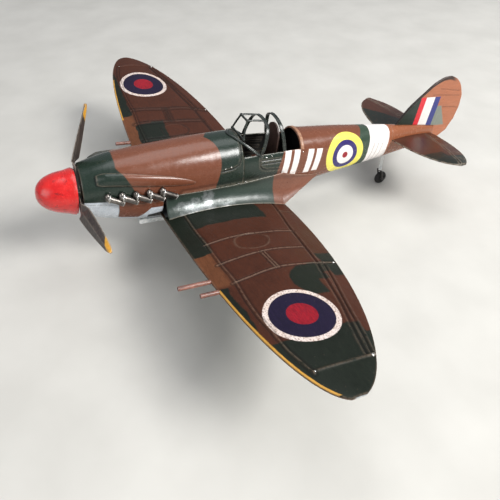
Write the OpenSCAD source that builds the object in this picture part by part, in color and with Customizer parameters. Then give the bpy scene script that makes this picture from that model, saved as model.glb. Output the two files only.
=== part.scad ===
// Tinplate low-wing fighter model: folded and soldered sheet, wire and rod,
// with a turning three-blade propeller and three turning wheels.
// The aircraft is drawn level (nose at y = 0, tail aft, thrust line at z = 0),
// then set down on its wheels: +X port, +Y aft, +Z up, floor at z = 0.

/* [Stance] */
// Nose-up angle when the model stands on its wheels
stance_angle = 7.65; // [5:0.05:10]
// Distance from the spinner tip aft to the middle of the model
middle_y = 165.92; // [150:0.01:180]
// Sheet metal thickness, including paint
sheet_t = 0.7; // [0.5:0.1:0.9]

/* [Fuselage] */
// Station of the nose bulkhead
nose_y = 26; // [25:0.5:27]
// Station where the wing meets the belly
wing_front_y = 74; // [72:0.5:75]
// Front of the cockpit opening
cockpit_front_y = 129; // [128:0.5:131]
// Rear of the cockpit opening
cockpit_rear_y = 174; // [172:0.5:176]
// Station of the tail joint
tail_joint_y = 262; // [258:0.5:264]
// Aft end of the fuselage
tail_end_y = 309; // [306:0.5:310]
// Squareness of the fuselage section (2 is an ellipse)
section_power = 2.3; // [2:0.05:2.5]

/* [Wing] */
// Half of the wing span
half_span = 194.3; // [190:0.5:198]
// Height of the wing's middle plane at the root
wing_z = -19.5; // [-20:0.1:-19]
// Rise of the wing for each millimetre of span
dihedral = 0.1717; // [0.16:0.001:0.18]
// Fall of the wing for each millimetre aft
incidence = 0.026; // [0.02:0.001:0.03]
// Crown of the upper skin at a chord of 78 mm
wing_crown = 4.7; // [4:0.1:5]
// Where the upper skin starts, beside the fuselage
upper_root_x = 21.5; // [21:0.5:22.5]
// Radius of a gun barrel
barrel_r = 1.3; // [1:0.1:1.5]

/* [Propeller] */
// Radius of the spinner's base
spinner_r = 14.8; // [14:0.1:15]
// Length of the spinner
spinner_len = 22; // [21:0.1:22.5]
// Radius of the circle through the blade tips
prop_r = 52; // [48:0.5:54]
// Upward tilt of the propeller shaft
shaft_tilt = 3; // [0:0.5:4]
// Angle of the first blade from straight up, towards starboard
blade_phase = 17.5; // [0:0.5:30]
// Radius of the propeller shaft
shaft_r = 1.5; // [1.2:0.1:1.8]
// Radius at which a blade's root tab starts
root_r = 5; // [4.5:0.1:6]
// Radius at which the tab turns into the twisted leaf
tab_r = 16; // [15.5:0.5:19]

/* [Exhausts] */
// Stubs on each side
stack_count = 5; // [4:1:6]
// Station of the first stub
stack_first_y = 40; // [38:0.5:42]
// Distance from one stub to the next
stack_pitch = 8.3; // [8:0.1:9]
// Radius of the bent tube
stack_r = 1.6; // [1:0.1:1.8]

/* [Canopy] */
// Width of the bent strips
hoop_wide = 2.6; // [1.8:0.1:3]
// Radius of the windscreen's wire
wire_r = 0.75; // [0.5:0.05:0.9]
// Height of the front hoop above its feet
hoop_front_rise = 19.5; // [18:0.5:21]
// Height of the rear hoop above its feet
hoop_rear_rise = 20.4; // [18:0.5:21]

/* [Tail] */
// Half span of the tailplane
tail_span = 59.5; // [56:0.5:62]
// Height of the tailplane root
tailplane_z = 14.5; // [13:0.1:16]

/* [Landing gear] */
// Radius of a main wheel
wheel_r = 9; // [8:0.5:9]
// Distance of a main wheel from the centre line
wheel_x = 30; // [26:0.5:34]
// Station of the main axles
wheel_y = 106; // [104:0.5:110]
// Radius of the tail wheel
tail_wheel_r = 5.5; // [5:0.1:6]
// Station of the tail wheel's axle
tail_wheel_y = 270.5; // [268:0.5:273]
// Height of the tail wheel's axle, aircraft level
tail_wheel_z = -24.2; // [-25:0.1:-23]

/* [Hidden] */
$fn = 48;
// Clearance between fixed neighbours, and around a turning shaft.
gap = 0.06;
run_gap = 0.05;
// Plates inside the fuselage.
plate_t = 0.8;
// Angles from the fuselage's top to the cowl seam and to the cockpit sill.
seam_angle = 97;
sill_angle = 55;
// Corners of the windscreen's port half: foot, top, and the rail's rear end.
pane_low = [9.6, 130.8, 29.2];
pane_top = [5, 134, 40.2];
rail_back = [5, 145.6, 39.4];
// Gun barrels as [distance from the centre line, length]; the two sides differ.
port_barrels = [[99.5, 18], [109.5, 10]];
starboard_barrels = [[60, 22], [69, 11]];
// Wing skins: where the lower one starts, and where both end.
lower_root_x = 0.05;
tip_x = half_span - 0.5;
// Middle of the tailplane's tip.
tailplane_mid_y = 287;
// Main gear leg, beside the wheel.
leg_x = wheel_x - 5.6;

// Fuselage section: half width, half height and mid height along the length.
half_width = [[20, 13.5], [26, 15], [40, 17.3], [60, 19], [100, 20], [130, 19.5],
    [160, 17.5], [215, 12.5], [250, 9.5], [275, 6.2], [300, 3], [309, 2]];
half_height = [[20, 14], [26, 16], [40, 20.5], [60, 24], [100, 26.6], [125, 27],
    [160, 23], [215, 17.7], [250, 14.2], [275, 11.3], [300, 8], [309, 6]];
mid_height = [[20, 1], [40, 1], [60, 0.5], [100, 2], [130, 3.5], [160, 6],
    [215, 9.5], [250, 11], [275, 12], [309, 14]];
function soft(y, t) = (lookup(y - 6, t) + 2 * lookup(y, t) + lookup(y + 6, t)) / 4;
function signed_pow(v, p) = sign(v) * pow(abs(v), p);
// A point of the fuselage skin: angle from the top, positive to port.
function skin(y, angle, out = 0) = [
    (soft(y, half_width) + out) * signed_pow(sin(angle), 2 / section_power),
    y,
    soft(y, mid_height)
        + (soft(y, half_height) + out) * signed_pow(cos(angle), 2 / section_power)];
function skin_z(y, angle) = skin(y, angle)[2];
function mix(a, b, t) = a + (b - a) * t;
function steps(n) = [for (i = [0 : n]) i / n];

// Wing plan: a superellipse nose, a fuller curve behind.
tip_y = 101.8;
function span_u(x) = min(abs(x) / half_span, 0.9975);
function lead_y(x) = tip_y - 28 * pow(1 - pow(span_u(x), 3.3), 0.4545);
function trail_y(x) = tip_y + 61 * pow(1 - pow(span_u(x), 2), 0.6);
function chord(x) = trail_y(x) - lead_y(x);
function bow(t) = 4 * t * (1 - t);
function wing_mid_z(x, y) = wing_z + dihedral * abs(x) - incidence * (y - 106);
// Points of the wing at chord fraction t, on the upper and the lower skin.
function upper(x, t, drop = 0) = let (y = mix(lead_y(x), trail_y(x), t))
    [x, y, wing_mid_z(x, y) + wing_crown * chord(x) / 78 * bow(t) - drop];
function lower(x, t, drop = 0) = let (y = mix(lead_y(x), trail_y(x), t))
    [x, y, wing_mid_z(x, y) - sheet_t - gap - 1.6 * chord(x) / 78 * bow(t) - drop];

// Wheels rest on the floor: the main axle's height follows from the stance.
tail_low = -tail_wheel_y * sin(stance_angle) + tail_wheel_z * cos(stance_angle)
    - tail_wheel_r;
wheel_z = (tail_low + wheel_r + wheel_y * sin(stance_angle)) / cos(stance_angle);
hub_y = spinner_len - 8;
tail_crown = [0, 267.8, tail_wheel_z + tail_wheel_r + 1.4];

module set_down() {
    translate([0, -middle_y, -tail_low]) rotate([-stance_angle, 0, 0]) children();
}
module mirror_if(on) {
    mirror([on ? 1 : 0, 0, 0]) children();
}
module shaft_frame() {
    translate([0, nose_y, 0]) rotate([-shaft_tilt, 0, 0]) translate([0, -nose_y, 0])
        children();
}
// A solid turned about the aircraft's length, from an outline of [radius, y].
module lathe_y(outline) {
    rotate([-90, 0, 0]) rotate_extrude() polygon(outline);
}
module disc_y(y0, y1, r) {
    translate([0, y0, 0]) rotate([-90, 0, 0]) cylinder(h = y1 - y0, r = r);
}
module disc_x(x0, x1, r) {
    translate([x0, 0, 0]) rotate([0, 90, 0]) cylinder(h = x1 - x0, r = r);
}
module rod(from, to, r) {
    run = to - from;
    length = norm(run);
    translate(from)
        rotate([0, acos(run[2] / length), atan2(run[1], run[0])])
            cylinder(h = length, r = r);
}
// A thin solid between two matching grids of points.
module sheet(outside, inside, flip = false) {
    rows = len(outside);
    cols = len(outside[0]);
    points = concat([for (row = outside) each row], [for (row = inside) each row]);
    half = rows * cols;
    quads = concat(
        [for (r = [0 : rows - 2], c = [0 : cols - 2])
            let (a = r * cols + c) [a, a + 1, a + cols + 1, a + cols]],
        [for (r = [0 : rows - 2], c = [0 : cols - 2])
            let (a = half + r * cols + c) [a, a + cols, a + cols + 1, a + 1]],
        [for (c = [0 : cols - 2])
            let (a = c) [a, a + half, a + half + 1, a + 1]],
        [for (c = [0 : cols - 2])
            let (a = (rows - 1) * cols + c) [a, a + 1, a + half + 1, a + half]],
        [for (r = [0 : rows - 2])
            let (a = r * cols) [a, a + cols, a + half + cols, a + half]],
        [for (r = [0 : rows - 2])
            let (a = r * cols + cols - 1) [a, a + half, a + half + cols, a + cols]]);
    faces = [for (q = quads) each [[q[0], q[1], q[2]], [q[0], q[2], q[3]]]];
    polyhedron(points, flip ? [for (f = faces) [f[2], f[1], f[0]]] : faces);
}
// A panel of the fuselage between two stations and two angles.
module hull_panel(y0, y1, angle0, angle1, rows, cols) {
    grid = function (out) [for (v = steps(rows))
        [for (u = steps(cols)) skin(mix(y0, y1, v), mix(angle0, angle1, u), out)]];
    sheet(grid(0), grid(-sheet_t));
}

// A flat plate that fills the fuselage section at one station.
module frame_plate(y, thick, low = -180, high = 180) {
    inset = -sheet_t - 0.2;
    outline = [for (a = [low : 10 : high - (high - low == 360 ? 10 : 0)])
        let (p = skin(y, a, inset)) [p[0], p[2]]];
    translate([0, y + thick, 0]) rotate([90, 0, 0]) linear_extrude(thick)
        polygon(outline);
}

// Propeller group
module spinner() {
    wall = 1.2;
    curve = function (r, len, a) [r * pow(sin(a), 0.9), spinner_len - len * cos(a)];
    outer = [for (a = [0 : 6 : 90]) curve(spinner_r, spinner_len, a)];
    inner = [for (a = [90 : -6 : 0])
        curve(spinner_r - wall, spinner_len - wall, a)];
    color("red") set_down() shaft_frame() lathe_y(concat(outer, inner));
}
module spinner_backplate() {
    color("firebrick") set_down() shaft_frame() difference() {
        disc_y(spinner_len + gap, spinner_len + 1, spinner_r - 0.6);
        disc_y(spinner_len - 1, spinner_len + 2, shaft_r + 0.02);
    }
}
module prop_hub() {
    color("gray") set_down() shaft_frame() difference() {
        disc_y(hub_y, spinner_len, 4);
        disc_y(hub_y - 1, spinner_len + 1, shaft_r + 0.02);
    }
}
// Folded blade: a flat root tab, then a creased, twisted and swept leaf.
function blade_half_width(s) = 3.4 + 2.4 * sin(180 * pow(s, 0.8)) - 1.5 * s;
function blade_round(s) = s > 0.9 ? sqrt(max(1 - pow((s - 0.9) / 0.1, 2), 0.08)) : 1;
function blade_point(s, side, lift) = let (
    r = mix(root_r, prop_r, s),
    out = max(r - tab_r, 0),
    twist = 32 * min(out / 5, 1) - 8 * s,
    w = side * blade_half_width(s) * blade_round(s),
    fold = 0.9 * (1 - abs(side)) * min(out / 6, 1) + lift)
    [w * cos(twist) - fold * sin(twist),
        spinner_len + 1.7 + 0.285 * out - w * sin(twist) - fold * cos(twist), r];
module blade(number) {
    side = [-1, -0.5, 0, 0.5, 1];
    color([0.25, 0.21, 0.2]) set_down() shaft_frame()
        rotate([0, -blade_phase + 120 * number, 0])
            sheet([for (s = steps(16)) [for (c = side) blade_point(s, c, 0)]],
                [for (s = steps(16)) [for (c = side) blade_point(s, c, -0.6)]]);
}
module blade_one() { blade(0); }
module blade_two() { blade(1); }
module blade_three() { blade(2); }
module prop_shaft() {
    color("silver") set_down() shaft_frame() disc_y(hub_y - 3, 46, shaft_r);
}
module shaft_collar() {
    color("goldenrod") set_down() shaft_frame() difference() {
        disc_y(42.4, 45, 3.2);
        disc_y(42, 46, shaft_r + 0.02);
    }
}

// Nose
module shaft_bush() {
    color("goldenrod") set_down() shaft_frame() difference() {
        disc_y(nose_y + 0.1, 42, 3);
        disc_y(nose_y - 1, 43, shaft_r + run_gap);
    }
}
module nose_bulkhead() {
    color("darkslategray") set_down() difference() {
        frame_plate(nose_y + 0.2, 1);
        shaft_frame() disc_y(nose_y - 2, nose_y + 4, 3.05);
    }
}
module cowl_upper() {
    color([0.47, 0.3, 0.22]) set_down()
        hull_panel(nose_y, cockpit_front_y, -seam_angle, seam_angle, 15, 18);
}
module cowl_lower() {
    color([0.6, 0.62, 0.64]) set_down()
        hull_panel(nose_y, wing_front_y, seam_angle + 0.4, 359.6 - seam_angle, 8, 16);
}
// Long tapering cover over one bank of cylinders.
module rocker_cover(starboard) {
    front = 34;
    back = 95;
    grid = function (lift) [for (v = steps(12)) [for (u = steps(6))
        let (high = mix(36, 74, v), low = mix(64, 84, v),
            bulge = 2 * pow(sin(180 * u), 0.6) * pow(1 - v, 0.5) * min(1, 8 * v + 0.25))
        skin(mix(front, back, v), mix(high, low, u), gap + lift + lift * 2 * bulge)]];
    color([0.18, 0.25, 0.22]) set_down() mirror_if(starboard)
        sheet(grid(0.5), grid(0));
}
module rocker_cover_port() { rocker_cover(false); }
module rocker_cover_starboard() { rocker_cover(true); }
// Bent stubs on one side, each a round boss with a pipe that leaves it aft and down.
module exhaust_stacks(starboard) {
    color("dimgray") set_down() mirror_if(starboard)
        for (i = [0 : stack_count - 1]) {
            y = stack_first_y + i * stack_pitch;
            root = skin(y, 83.5, 0.4);
            bend = root + [2, 0, 0];
            boss = bend + [stack_r + 0.1, 0, 0];
            end = [skin(y + 8.6, 96, 0)[0] + 2.2, y + 8.6, root[2] - 4.2];
            rod(root, boss, stack_r + 0.8);
            rod(bend, end, stack_r);
        }
}
module exhaust_stacks_port() { exhaust_stacks(false); }
module exhaust_stacks_starboard() { exhaust_stacks(true); }
// Shallow box scoop under the nose, open at the front.
module air_intake() {
    front = 61;
    back = 78;
    w = 15;
    h = 3.3;
    z = -27.5;
    color("whitesmoke") set_down() difference() {
        translate([-w / 2, front, z]) cube([w, back - front, h]);
        translate([-w / 2 + sheet_t, front - 1, z + sheet_t])
            cube([w - 2 * sheet_t, back - front, h - 2 * sheet_t]);
    }
}

// Cockpit and rear fuselage
module cockpit_side(starboard) {
    color([0.18, 0.25, 0.22]) set_down() mirror_if(starboard)
        hull_panel(cockpit_front_y + gap, cockpit_rear_y, sill_angle, seam_angle, 8, 5);
}
module cockpit_side_port() { cockpit_side(false); }
module cockpit_side_starboard() { cockpit_side(true); }
module belly_plate() {
    color([0.75, 0.76, 0.75]) set_down()
        hull_panel(163.5, cockpit_rear_y, seam_angle + 0.4, 359.6 - seam_angle, 2, 14);
}
module rear_fuselage() {
    color([0.47, 0.3, 0.22]) set_down()
        hull_panel(cockpit_rear_y + gap, tail_joint_y, -179, 179, 10, 30);
}
module tail_cone() {
    color([0.47, 0.3, 0.22]) set_down()
        hull_panel(tail_joint_y + gap, tail_end_y, -178, 178, 6, 20);
}
module cockpit_floor() {
    wide = 26;
    long = 38;
    color("dimgray") set_down() translate([-wide / 2, 133, 0])
        cube([wide, long, plate_t]);
}
module instrument_panel() {
    color("black") set_down() intersection() {
        frame_plate(cockpit_front_y - 2, plate_t);
        translate([-30, 100, 9]) cube([60, 60, 40]);
    }
}
module seat() {
    back_r = 8;
    back_y = 157.5;
    back_t = 1.2;
    floor_z = plate_t + 0.1;
    pan = [12, 7, 5];
    straight = 25.7;
    color("saddlebrown") set_down() {
        translate([-pan[0] / 2, back_y - pan[1], floor_z]) cube(pan);
        translate([0, back_y + back_t, floor_z]) rotate([90, 0, 0])
            linear_extrude(back_t) {
                translate([-back_r, 0]) square([2 * back_r, straight]);
                translate([0, straight]) circle(r = back_r);
            }
    }
}
module rear_bulkhead() {
    color("black") set_down() frame_plate(180, plate_t);
}
// Strip that follows the fuselage from sill to sill, apex forward.
module windscreen_base() {
    apex_y = 121.6;
    sweep_y = 19;
    past_sill = sill_angle + 3;
    edge = function (u, across, out) let (a = mix(-past_sill, past_sill, u))
        skin(apex_y + sweep_y * pow(abs(2 * u - 1), 1.5) + across, a, out);
    color([0.2, 0.26, 0.23]) set_down() sheet(
        [for (u = steps(20)) [for (w = [0, hoop_wide]) edge(u, w, gap + sheet_t)]],
        [for (u = steps(20)) [for (w = [0, hoop_wide]) edge(u, w, gap)]], true);
}
function other(p) = [-p[0], p[1], p[2]];
module windscreen_frame() {
    color([0.2, 0.26, 0.23]) set_down() {
        for (s = [false, true]) mirror_if(s) {
            rod(pane_low, pane_top, wire_r);
            rod(pane_top, rail_back, wire_r);
            translate(pane_top) sphere(r = wire_r);
            translate(pane_low) sphere(r = wire_r);
        }
        rod(other(pane_top), pane_top, wire_r);
        rod(other(pane_low), pane_low, wire_r);
    }
}
// Bent strip over the cockpit, standing on both sills.
module canopy_hoop(foot_y, top_y, rise, squareness) {
    foot = skin(foot_y, sill_angle);
    half = hoop_wide / 2;
    arc = function (u, across, inset) let (a = 180 * u, s = signed_pow(sin(a), squareness))
        [(foot[0] - inset) * signed_pow(cos(a), squareness),
            mix(foot_y, top_y, s) + across, foot[2] + 0.25 + (rise - inset) * s];
    color([0.2, 0.26, 0.23]) set_down()
        sheet([for (u = steps(22)) [for (w = [-half, half]) arc(u, w, 0)]],
            [for (u = steps(22)) [for (w = [-half, half]) arc(u, w, sheet_t)]]);
}
module canopy_hoop_front() { canopy_hoop(142.5, 147.5, hoop_front_rise, 0.75); }
module canopy_hoop_rear() { canopy_hoop(160.5, 156.5, hoop_rear_rise, 0.85); }
module deck_edge_strip() {
    wide = 2.4;
    thick = 0.6;
    past_sill = sill_angle + 2;
    edge = function (u, across, out)
        skin(cockpit_rear_y + 0.3 + across, mix(-past_sill, past_sill, u), out);
    color([0.6, 0.38, 0.26]) set_down() sheet(
        [for (u = steps(14)) [for (w = [0, wide]) edge(u, w, gap + thick)]],
        [for (u = steps(14)) [for (w = [0, wide]) edge(u, w, gap)]], true);
}

// Wing
function span_step(root, i, n) = mix(root, tip_x, sin(90 * i / n));
module wing_upper(starboard) {
    grid = function (drop) [for (i = [0 : 18])
        [for (t = steps(10)) upper(span_step(upper_root_x, i, 18), t, drop)]];
    color([0.42, 0.27, 0.2]) set_down() mirror_if(starboard)
        sheet(grid(0), grid(sheet_t));
}
module wing_lower(starboard) {
    grid = function (drop) [for (i = [0 : 16])
        [for (t = steps(8)) lower(span_step(lower_root_x, i, 16), t, drop)]];
    color([0.74, 0.75, 0.74]) set_down() mirror_if(starboard)
        sheet(grid(0), grid(sheet_t));
}
module wing_upper_port() { wing_upper(false); }
module wing_upper_starboard() { wing_upper(true); }
module wing_lower_port() { wing_lower(false); }
module wing_lower_starboard() { wing_lower(true); }
module wing_spar() {
    spar_y = 112;
    half = [62, 7, 1.6];
    color("silver") set_down() for (s = [false, true]) mirror_if(s)
        translate([0, spar_y, wing_z + 0.3]) rotate([0, -atan(dihedral), 0])
            translate([-0.2, 0, 0]) cube(half);
}
// Curved sheet that closes the corner between fuselage and wing. Up to v = 1 its
// outer edge lies on the wing; from there it tapers up and aft along the fuselage.
module wing_fairing(starboard) {
    outer_x = 26.5;
    root_end = upper(outer_x, 0.985, -0.12);
    tail_end = skin(193, 129, gap + 0.1);
    point = function (v, u, lift) let (
        aft = max(v - 1, 0),
        b = v > 1 ? mix(root_end, tail_end, aft)
            : upper(outer_x, mix(0.02, 0.985, v), -0.12),
        a = skin(b[1], seam_angle - 5 + 26 * aft, gap),
        c = [a[0] + 0.4, b[1], mix(b[2], a[2], 0.25)])
        (1 - u) * (1 - u) * a + 2 * u * (1 - u) * c + u * u * b
            + lift * mix([0.4, 0, 0.5], [0.5, 0, -0.3], aft);
    color([0.18, 0.25, 0.22]) set_down() mirror_if(starboard)
        sheet([for (v = steps(22)) [for (u = steps(6)) point(2 * v, u, 1)]],
            [for (v = steps(22)) [for (u = steps(6)) point(2 * v, u, 0)]], true);
}
module wing_fairing_port() { wing_fairing(false); }
module wing_fairing_starboard() { wing_fairing(true); }
module gun_barrels(starboard) {
    color([0.45, 0.28, 0.2]) set_down() mirror_if(starboard)
        for (b = starboard ? starboard_barrels : port_barrels) {
            y = lead_y(b[0]) - 0.15;
            translate([b[0], y - b[1], wing_mid_z(b[0], y) - 0.4])
                disc_y(0, b[1], barrel_r);
        }
}
module gun_barrels_port() { gun_barrels(false); }
module gun_barrels_starboard() { gun_barrels(true); }

// Tail
function tail_lead(x) =
    tailplane_mid_y - 25 * pow(1 - pow(min(x / tail_span, 0.985), 2.6), 0.5);
function tail_trail(x) =
    tailplane_mid_y + 20.5 * pow(1 - pow(min(x / tail_span, 0.985), 2.4), 0.6);
module tailplane(starboard) {
    point = function (u, t, over) let (
        root_y = mix(tail_lead(6), tail_trail(6), t),
        x = mix(soft(root_y, half_width) + 0.25, tail_span - 0.4, sin(90 * u)),
        y = mix(tail_lead(x), tail_trail(x), t))
        [x, y, tailplane_z + 0.08 * x
            + (over ? 0.4 + 1.1 * bow(t) : -0.4 - 0.5 * bow(t))];
    color([0.42, 0.27, 0.2]) set_down() mirror_if(starboard)
        sheet([for (u = steps(12)) [for (t = steps(8)) point(u, t, true)]],
            [for (u = steps(12)) [for (t = steps(8)) point(u, t, false)]]);
}
module tailplane_port() { tailplane(false); }
module tailplane_starboard() { tailplane(true); }
// Fin and rudder are one flat plate that stands on the tail cone.
module fin() {
    fin_t = 1;
    hull_top = function (y) skin_z(y, 0) + 0.1;
    outline = concat(
        [for (y = [268 : 6 : 304]) [y, hull_top(y)]],
        [[tail_end_y + 0.3, hull_top(tail_end_y)], [tail_end_y + 0.3, 9], [319, 10],
            [325, 15], [329, 25], [330, 36], [328, 46], [323, 54], [317, 59],
            [309, 61.5], [302, 60.5], [294, 56], [286, 48], [276, 38]]);
    color([0.65, 0.4, 0.24]) set_down() translate([fin_t / 2, 0, 0])
        rotate([90, 0, -90]) linear_extrude(fin_t)
            polygon([for (p = outline) [-p[0], p[1]]]);
}

// Landing gear
module gear_leg(starboard) {
    leg_r = 1.6;
    pad_r = 3.4;
    pad_t = 0.8;
    top = wing_mid_z(leg_x, wheel_y) - 3.45;
    color("lightgray") set_down() mirror_if(starboard) {
        translate([leg_x, wheel_y, top]) rotate([0, -atan(dihedral), 0])
            translate([0, 0, -pad_t]) cylinder(h = pad_t, r = pad_r);
        rod([leg_x, wheel_y, wheel_z], [leg_x, wheel_y, top - pad_t - 0.1], leg_r);
        translate([leg_x, wheel_y, wheel_z]) sphere(r = leg_r);
        translate([0, wheel_y, wheel_z]) disc_x(leg_x, wheel_x + 3, 1.2);
    }
}
module gear_leg_port() { gear_leg(false); }
module gear_leg_starboard() { gear_leg(true); }
// Tyre with a dished hub, bored to run on its axle.
module wheel(r, wide, bore_r) {
    rotate([0, 90, 0]) rotate_extrude() difference() {
        union() {
            translate([bore_r, -wide * 0.4]) square([r * 0.72 - bore_r, wide * 0.8]);
            translate([r - wide / 2, 0]) circle(r = wide / 2);
            translate([r * 0.6, -wide / 2]) square([r * 0.4 - wide / 2, wide]);
        }
        translate([r * 0.22, wide * 0.3]) square([r * 0.3, wide]);
        translate([r * 0.22, -wide * 1.3]) square([r * 0.3, wide]);
    }
}
module main_wheel(starboard) {
    color([0.12, 0.12, 0.12]) set_down() mirror_if(starboard)
        translate([wheel_x, wheel_y, wheel_z]) wheel(wheel_r, 5, 1.2 + run_gap);
}
module wheel_port() { main_wheel(false); }
module wheel_starboard() { main_wheel(true); }
module axle_cap(starboard) {
    color("silver") set_down() mirror_if(starboard)
        translate([0, wheel_y, wheel_z]) disc_x(wheel_x + 3.02, wheel_x + 4, 2.2);
}
module axle_cap_port() { axle_cap(false); }
module axle_cap_starboard() { axle_cap(true); }
module tail_strut() {
    top_y = 265;
    color("whitesmoke") set_down()
        rod([0, top_y, skin_z(top_y, 180) - 0.5], tail_crown + [0, -0.25, 0.9], 1.3);
}
module tail_fork() {
    prong_x = 2.9;
    fork_r = 0.7;
    axle = [prong_x, tail_wheel_y, tail_wheel_z];
    color("dimgray") set_down() {
        for (s = [false, true]) mirror_if(s) {
            rod([prong_x, tail_crown[1], tail_crown[2]], axle, fork_r);
            translate([prong_x, tail_crown[1], tail_crown[2]]) sphere(r = fork_r);
            translate(axle) sphere(r = 1.1);
        }
        rod(other([prong_x, tail_crown[1], tail_crown[2]]),
            [prong_x, tail_crown[1], tail_crown[2]], fork_r);
        translate([0, tail_wheel_y, tail_wheel_z]) disc_x(-prong_x, prong_x, 0.8);
    }
}
module tail_wheel() {
    color([0.12, 0.12, 0.12]) set_down()
        translate([0, tail_wheel_y, tail_wheel_z])
            wheel(tail_wheel_r, 3.4, 0.8 + run_gap);
}

spinner();
spinner_backplate();
prop_hub();
blade_one();
blade_two();
blade_three();
prop_shaft();
shaft_collar();
shaft_bush();
nose_bulkhead();
cowl_upper();
cowl_lower();
rocker_cover_port();
rocker_cover_starboard();
exhaust_stacks_port();
exhaust_stacks_starboard();
air_intake();
cockpit_side_port();
cockpit_side_starboard();
belly_plate();
rear_fuselage();
tail_cone();
cockpit_floor();
instrument_panel();
seat();
rear_bulkhead();
windscreen_base();
windscreen_frame();
canopy_hoop_front();
canopy_hoop_rear();
deck_edge_strip();
wing_spar();
wing_upper_port();
wing_upper_starboard();
wing_lower_port();
wing_lower_starboard();
wing_fairing_port();
wing_fairing_starboard();
gun_barrels_port();
gun_barrels_starboard();
tailplane_port();
tailplane_starboard();
fin();
gear_leg_port();
gear_leg_starboard();
wheel_port();
wheel_starboard();
axle_cap_port();
axle_cap_starboard();
tail_strut();
tail_fork();
tail_wheel();
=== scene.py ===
"""Looks for the tinplate low-wing fighter: painted sheet skins, wire frames and worn finishes.

Shapes are worked out in the aircraft's level frame in millimetres (x port, y aft from the
spinner's tip, z up from the thrust line), then set down on the wheels, in metres, as in the CAD.
"""

import functools
import math

import bmesh
import bpy
import numpy as np
from mathutils import Matrix, Vector


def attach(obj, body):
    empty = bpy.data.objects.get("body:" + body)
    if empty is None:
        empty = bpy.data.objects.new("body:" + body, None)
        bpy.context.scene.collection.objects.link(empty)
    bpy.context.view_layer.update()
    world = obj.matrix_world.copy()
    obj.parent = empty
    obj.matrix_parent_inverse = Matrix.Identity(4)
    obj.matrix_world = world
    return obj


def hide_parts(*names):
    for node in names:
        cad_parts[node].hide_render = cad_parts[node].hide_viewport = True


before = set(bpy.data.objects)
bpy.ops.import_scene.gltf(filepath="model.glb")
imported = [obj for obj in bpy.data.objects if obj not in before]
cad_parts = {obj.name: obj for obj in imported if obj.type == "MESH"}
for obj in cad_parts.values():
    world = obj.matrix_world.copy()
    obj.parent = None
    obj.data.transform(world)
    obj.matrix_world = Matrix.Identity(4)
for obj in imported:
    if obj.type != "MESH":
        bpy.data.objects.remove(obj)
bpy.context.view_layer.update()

SCENE = bpy.context.scene

# ---- level frame
STANCE = math.radians(7.65)
MIDDLE_Y = 165.92
TAIL_WHEEL = (0.0, 270.5, -24.2)
TAIL_WHEEL_R = 5.5
TAIL_LOW = -TAIL_WHEEL[1] * math.sin(STANCE) + TAIL_WHEEL[2] * math.cos(STANCE) - TAIL_WHEEL_R
NOSE_Y = 26.0
SHAFT_TILT = math.radians(3.0)
GAP = 0.06
SHEET = 0.7
SIDES = {"port": 1.0, "starboard": -1.0}
SHARP_ANGLE = math.radians(35)


def place(points):
    """Level-frame millimetres to row-frame metres."""
    p = np.asarray(points, float)
    c, s = math.cos(STANCE), math.sin(STANCE)
    y = p[..., 1] * c + p[..., 2] * s - MIDDLE_Y
    z = -p[..., 1] * s + p[..., 2] * c - TAIL_LOW
    return xyz(p[..., 0], y, z) / 1000.0


def tilt(points):
    """Propeller-group points, drawn about a level shaft, to the level frame."""
    p = np.asarray(points, float)
    c, s = math.cos(SHAFT_TILT), math.sin(SHAFT_TILT)
    y = p[..., 1] - NOSE_Y
    return np.stack([p[..., 0], NOSE_Y + y * c + p[..., 2] * s, -y * s + p[..., 2] * c], -1)


def unit(v):
    """Vectors along the last axis, scaled to a length of one."""
    return v / np.linalg.norm(v, axis=-1, keepdims=True)


def grid(a, b):
    return np.meshgrid(a, b, indexing="ij")


def circle(count):
    return np.linspace(0, 2 * math.pi, count, endpoint=False)


def xyz(x, y, z):
    return np.stack([x, y, z], -1)


def mix(a, b, t):
    return a + (b - a) * t


def signed_pow(v, p):
    return np.sign(v) * np.abs(v) ** p


def smoothstep(lo, hi, v):
    t = np.clip((v - lo) / (hi - lo), 0, 1)
    return t * t * (3 - 2 * t)


def ripple(x, y, z, size, seed=0.0):
    """A smooth, repeatable unevenness of about plus or minus one."""
    k = 2 * math.pi / size
    return (np.sin(k * x + 1.7 * np.sin(0.6 * k * y + seed) + seed)
        + np.sin(0.8 * k * y + 1.3 * np.sin(0.7 * k * z + 2 * seed) + 2.1)
        + np.sin(0.9 * k * z + 1.1 * np.sin(0.5 * k * x + 3 * seed) + 4.2)) / 3


def ripple_at(p, size, seed):
    return ripple(p[..., 0], p[..., 1], p[..., 2], size, seed)


# ---- fuselage shape
SECTION_POWER = 2.3
STATIONS = np.array([
    # y, half width, half height, mid height
    (20, 13.5, 14, 1), (26, 15, 16, 1), (40, 17.3, 20.5, 1), (60, 19, 24, 0.5),
    (100, 20, 26.6, 2), (130, 19.5, 26.7, 3.5), (160, 17.5, 23, 6), (215, 12.5, 17.7, 9.5),
    (250, 9.5, 14.2, 11), (275, 6.2, 11.3, 12), (300, 3, 8, 13.2), (309, 2, 6, 14),
])


def station(y, column):
    """The section's size at y: the stations joined by straight lines, then softened."""
    reach = np.array([-9, -6, -3, 0, 3, 6, 9])
    weight = np.array([1, 2, 3, 4, 3, 2, 1]) / 16
    y = np.asarray(y, float)
    near = np.interp(y[..., None] + reach, STATIONS[:, 0], STATIONS[:, column])
    return (near * weight).sum(-1)


def skin(y, angle, out=0.0):
    """A point of the fuselage: angle in degrees from the top, positive to port."""
    a = np.radians(angle)
    x = (station(y, 1) + out) * signed_pow(np.sin(a), 2 / SECTION_POWER)
    z = station(y, 3) + (station(y, 2) + out) * signed_pow(np.cos(a), 2 / SECTION_POWER)
    return xyz(x, np.broadcast_to(y, x.shape).astype(float), z)


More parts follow.
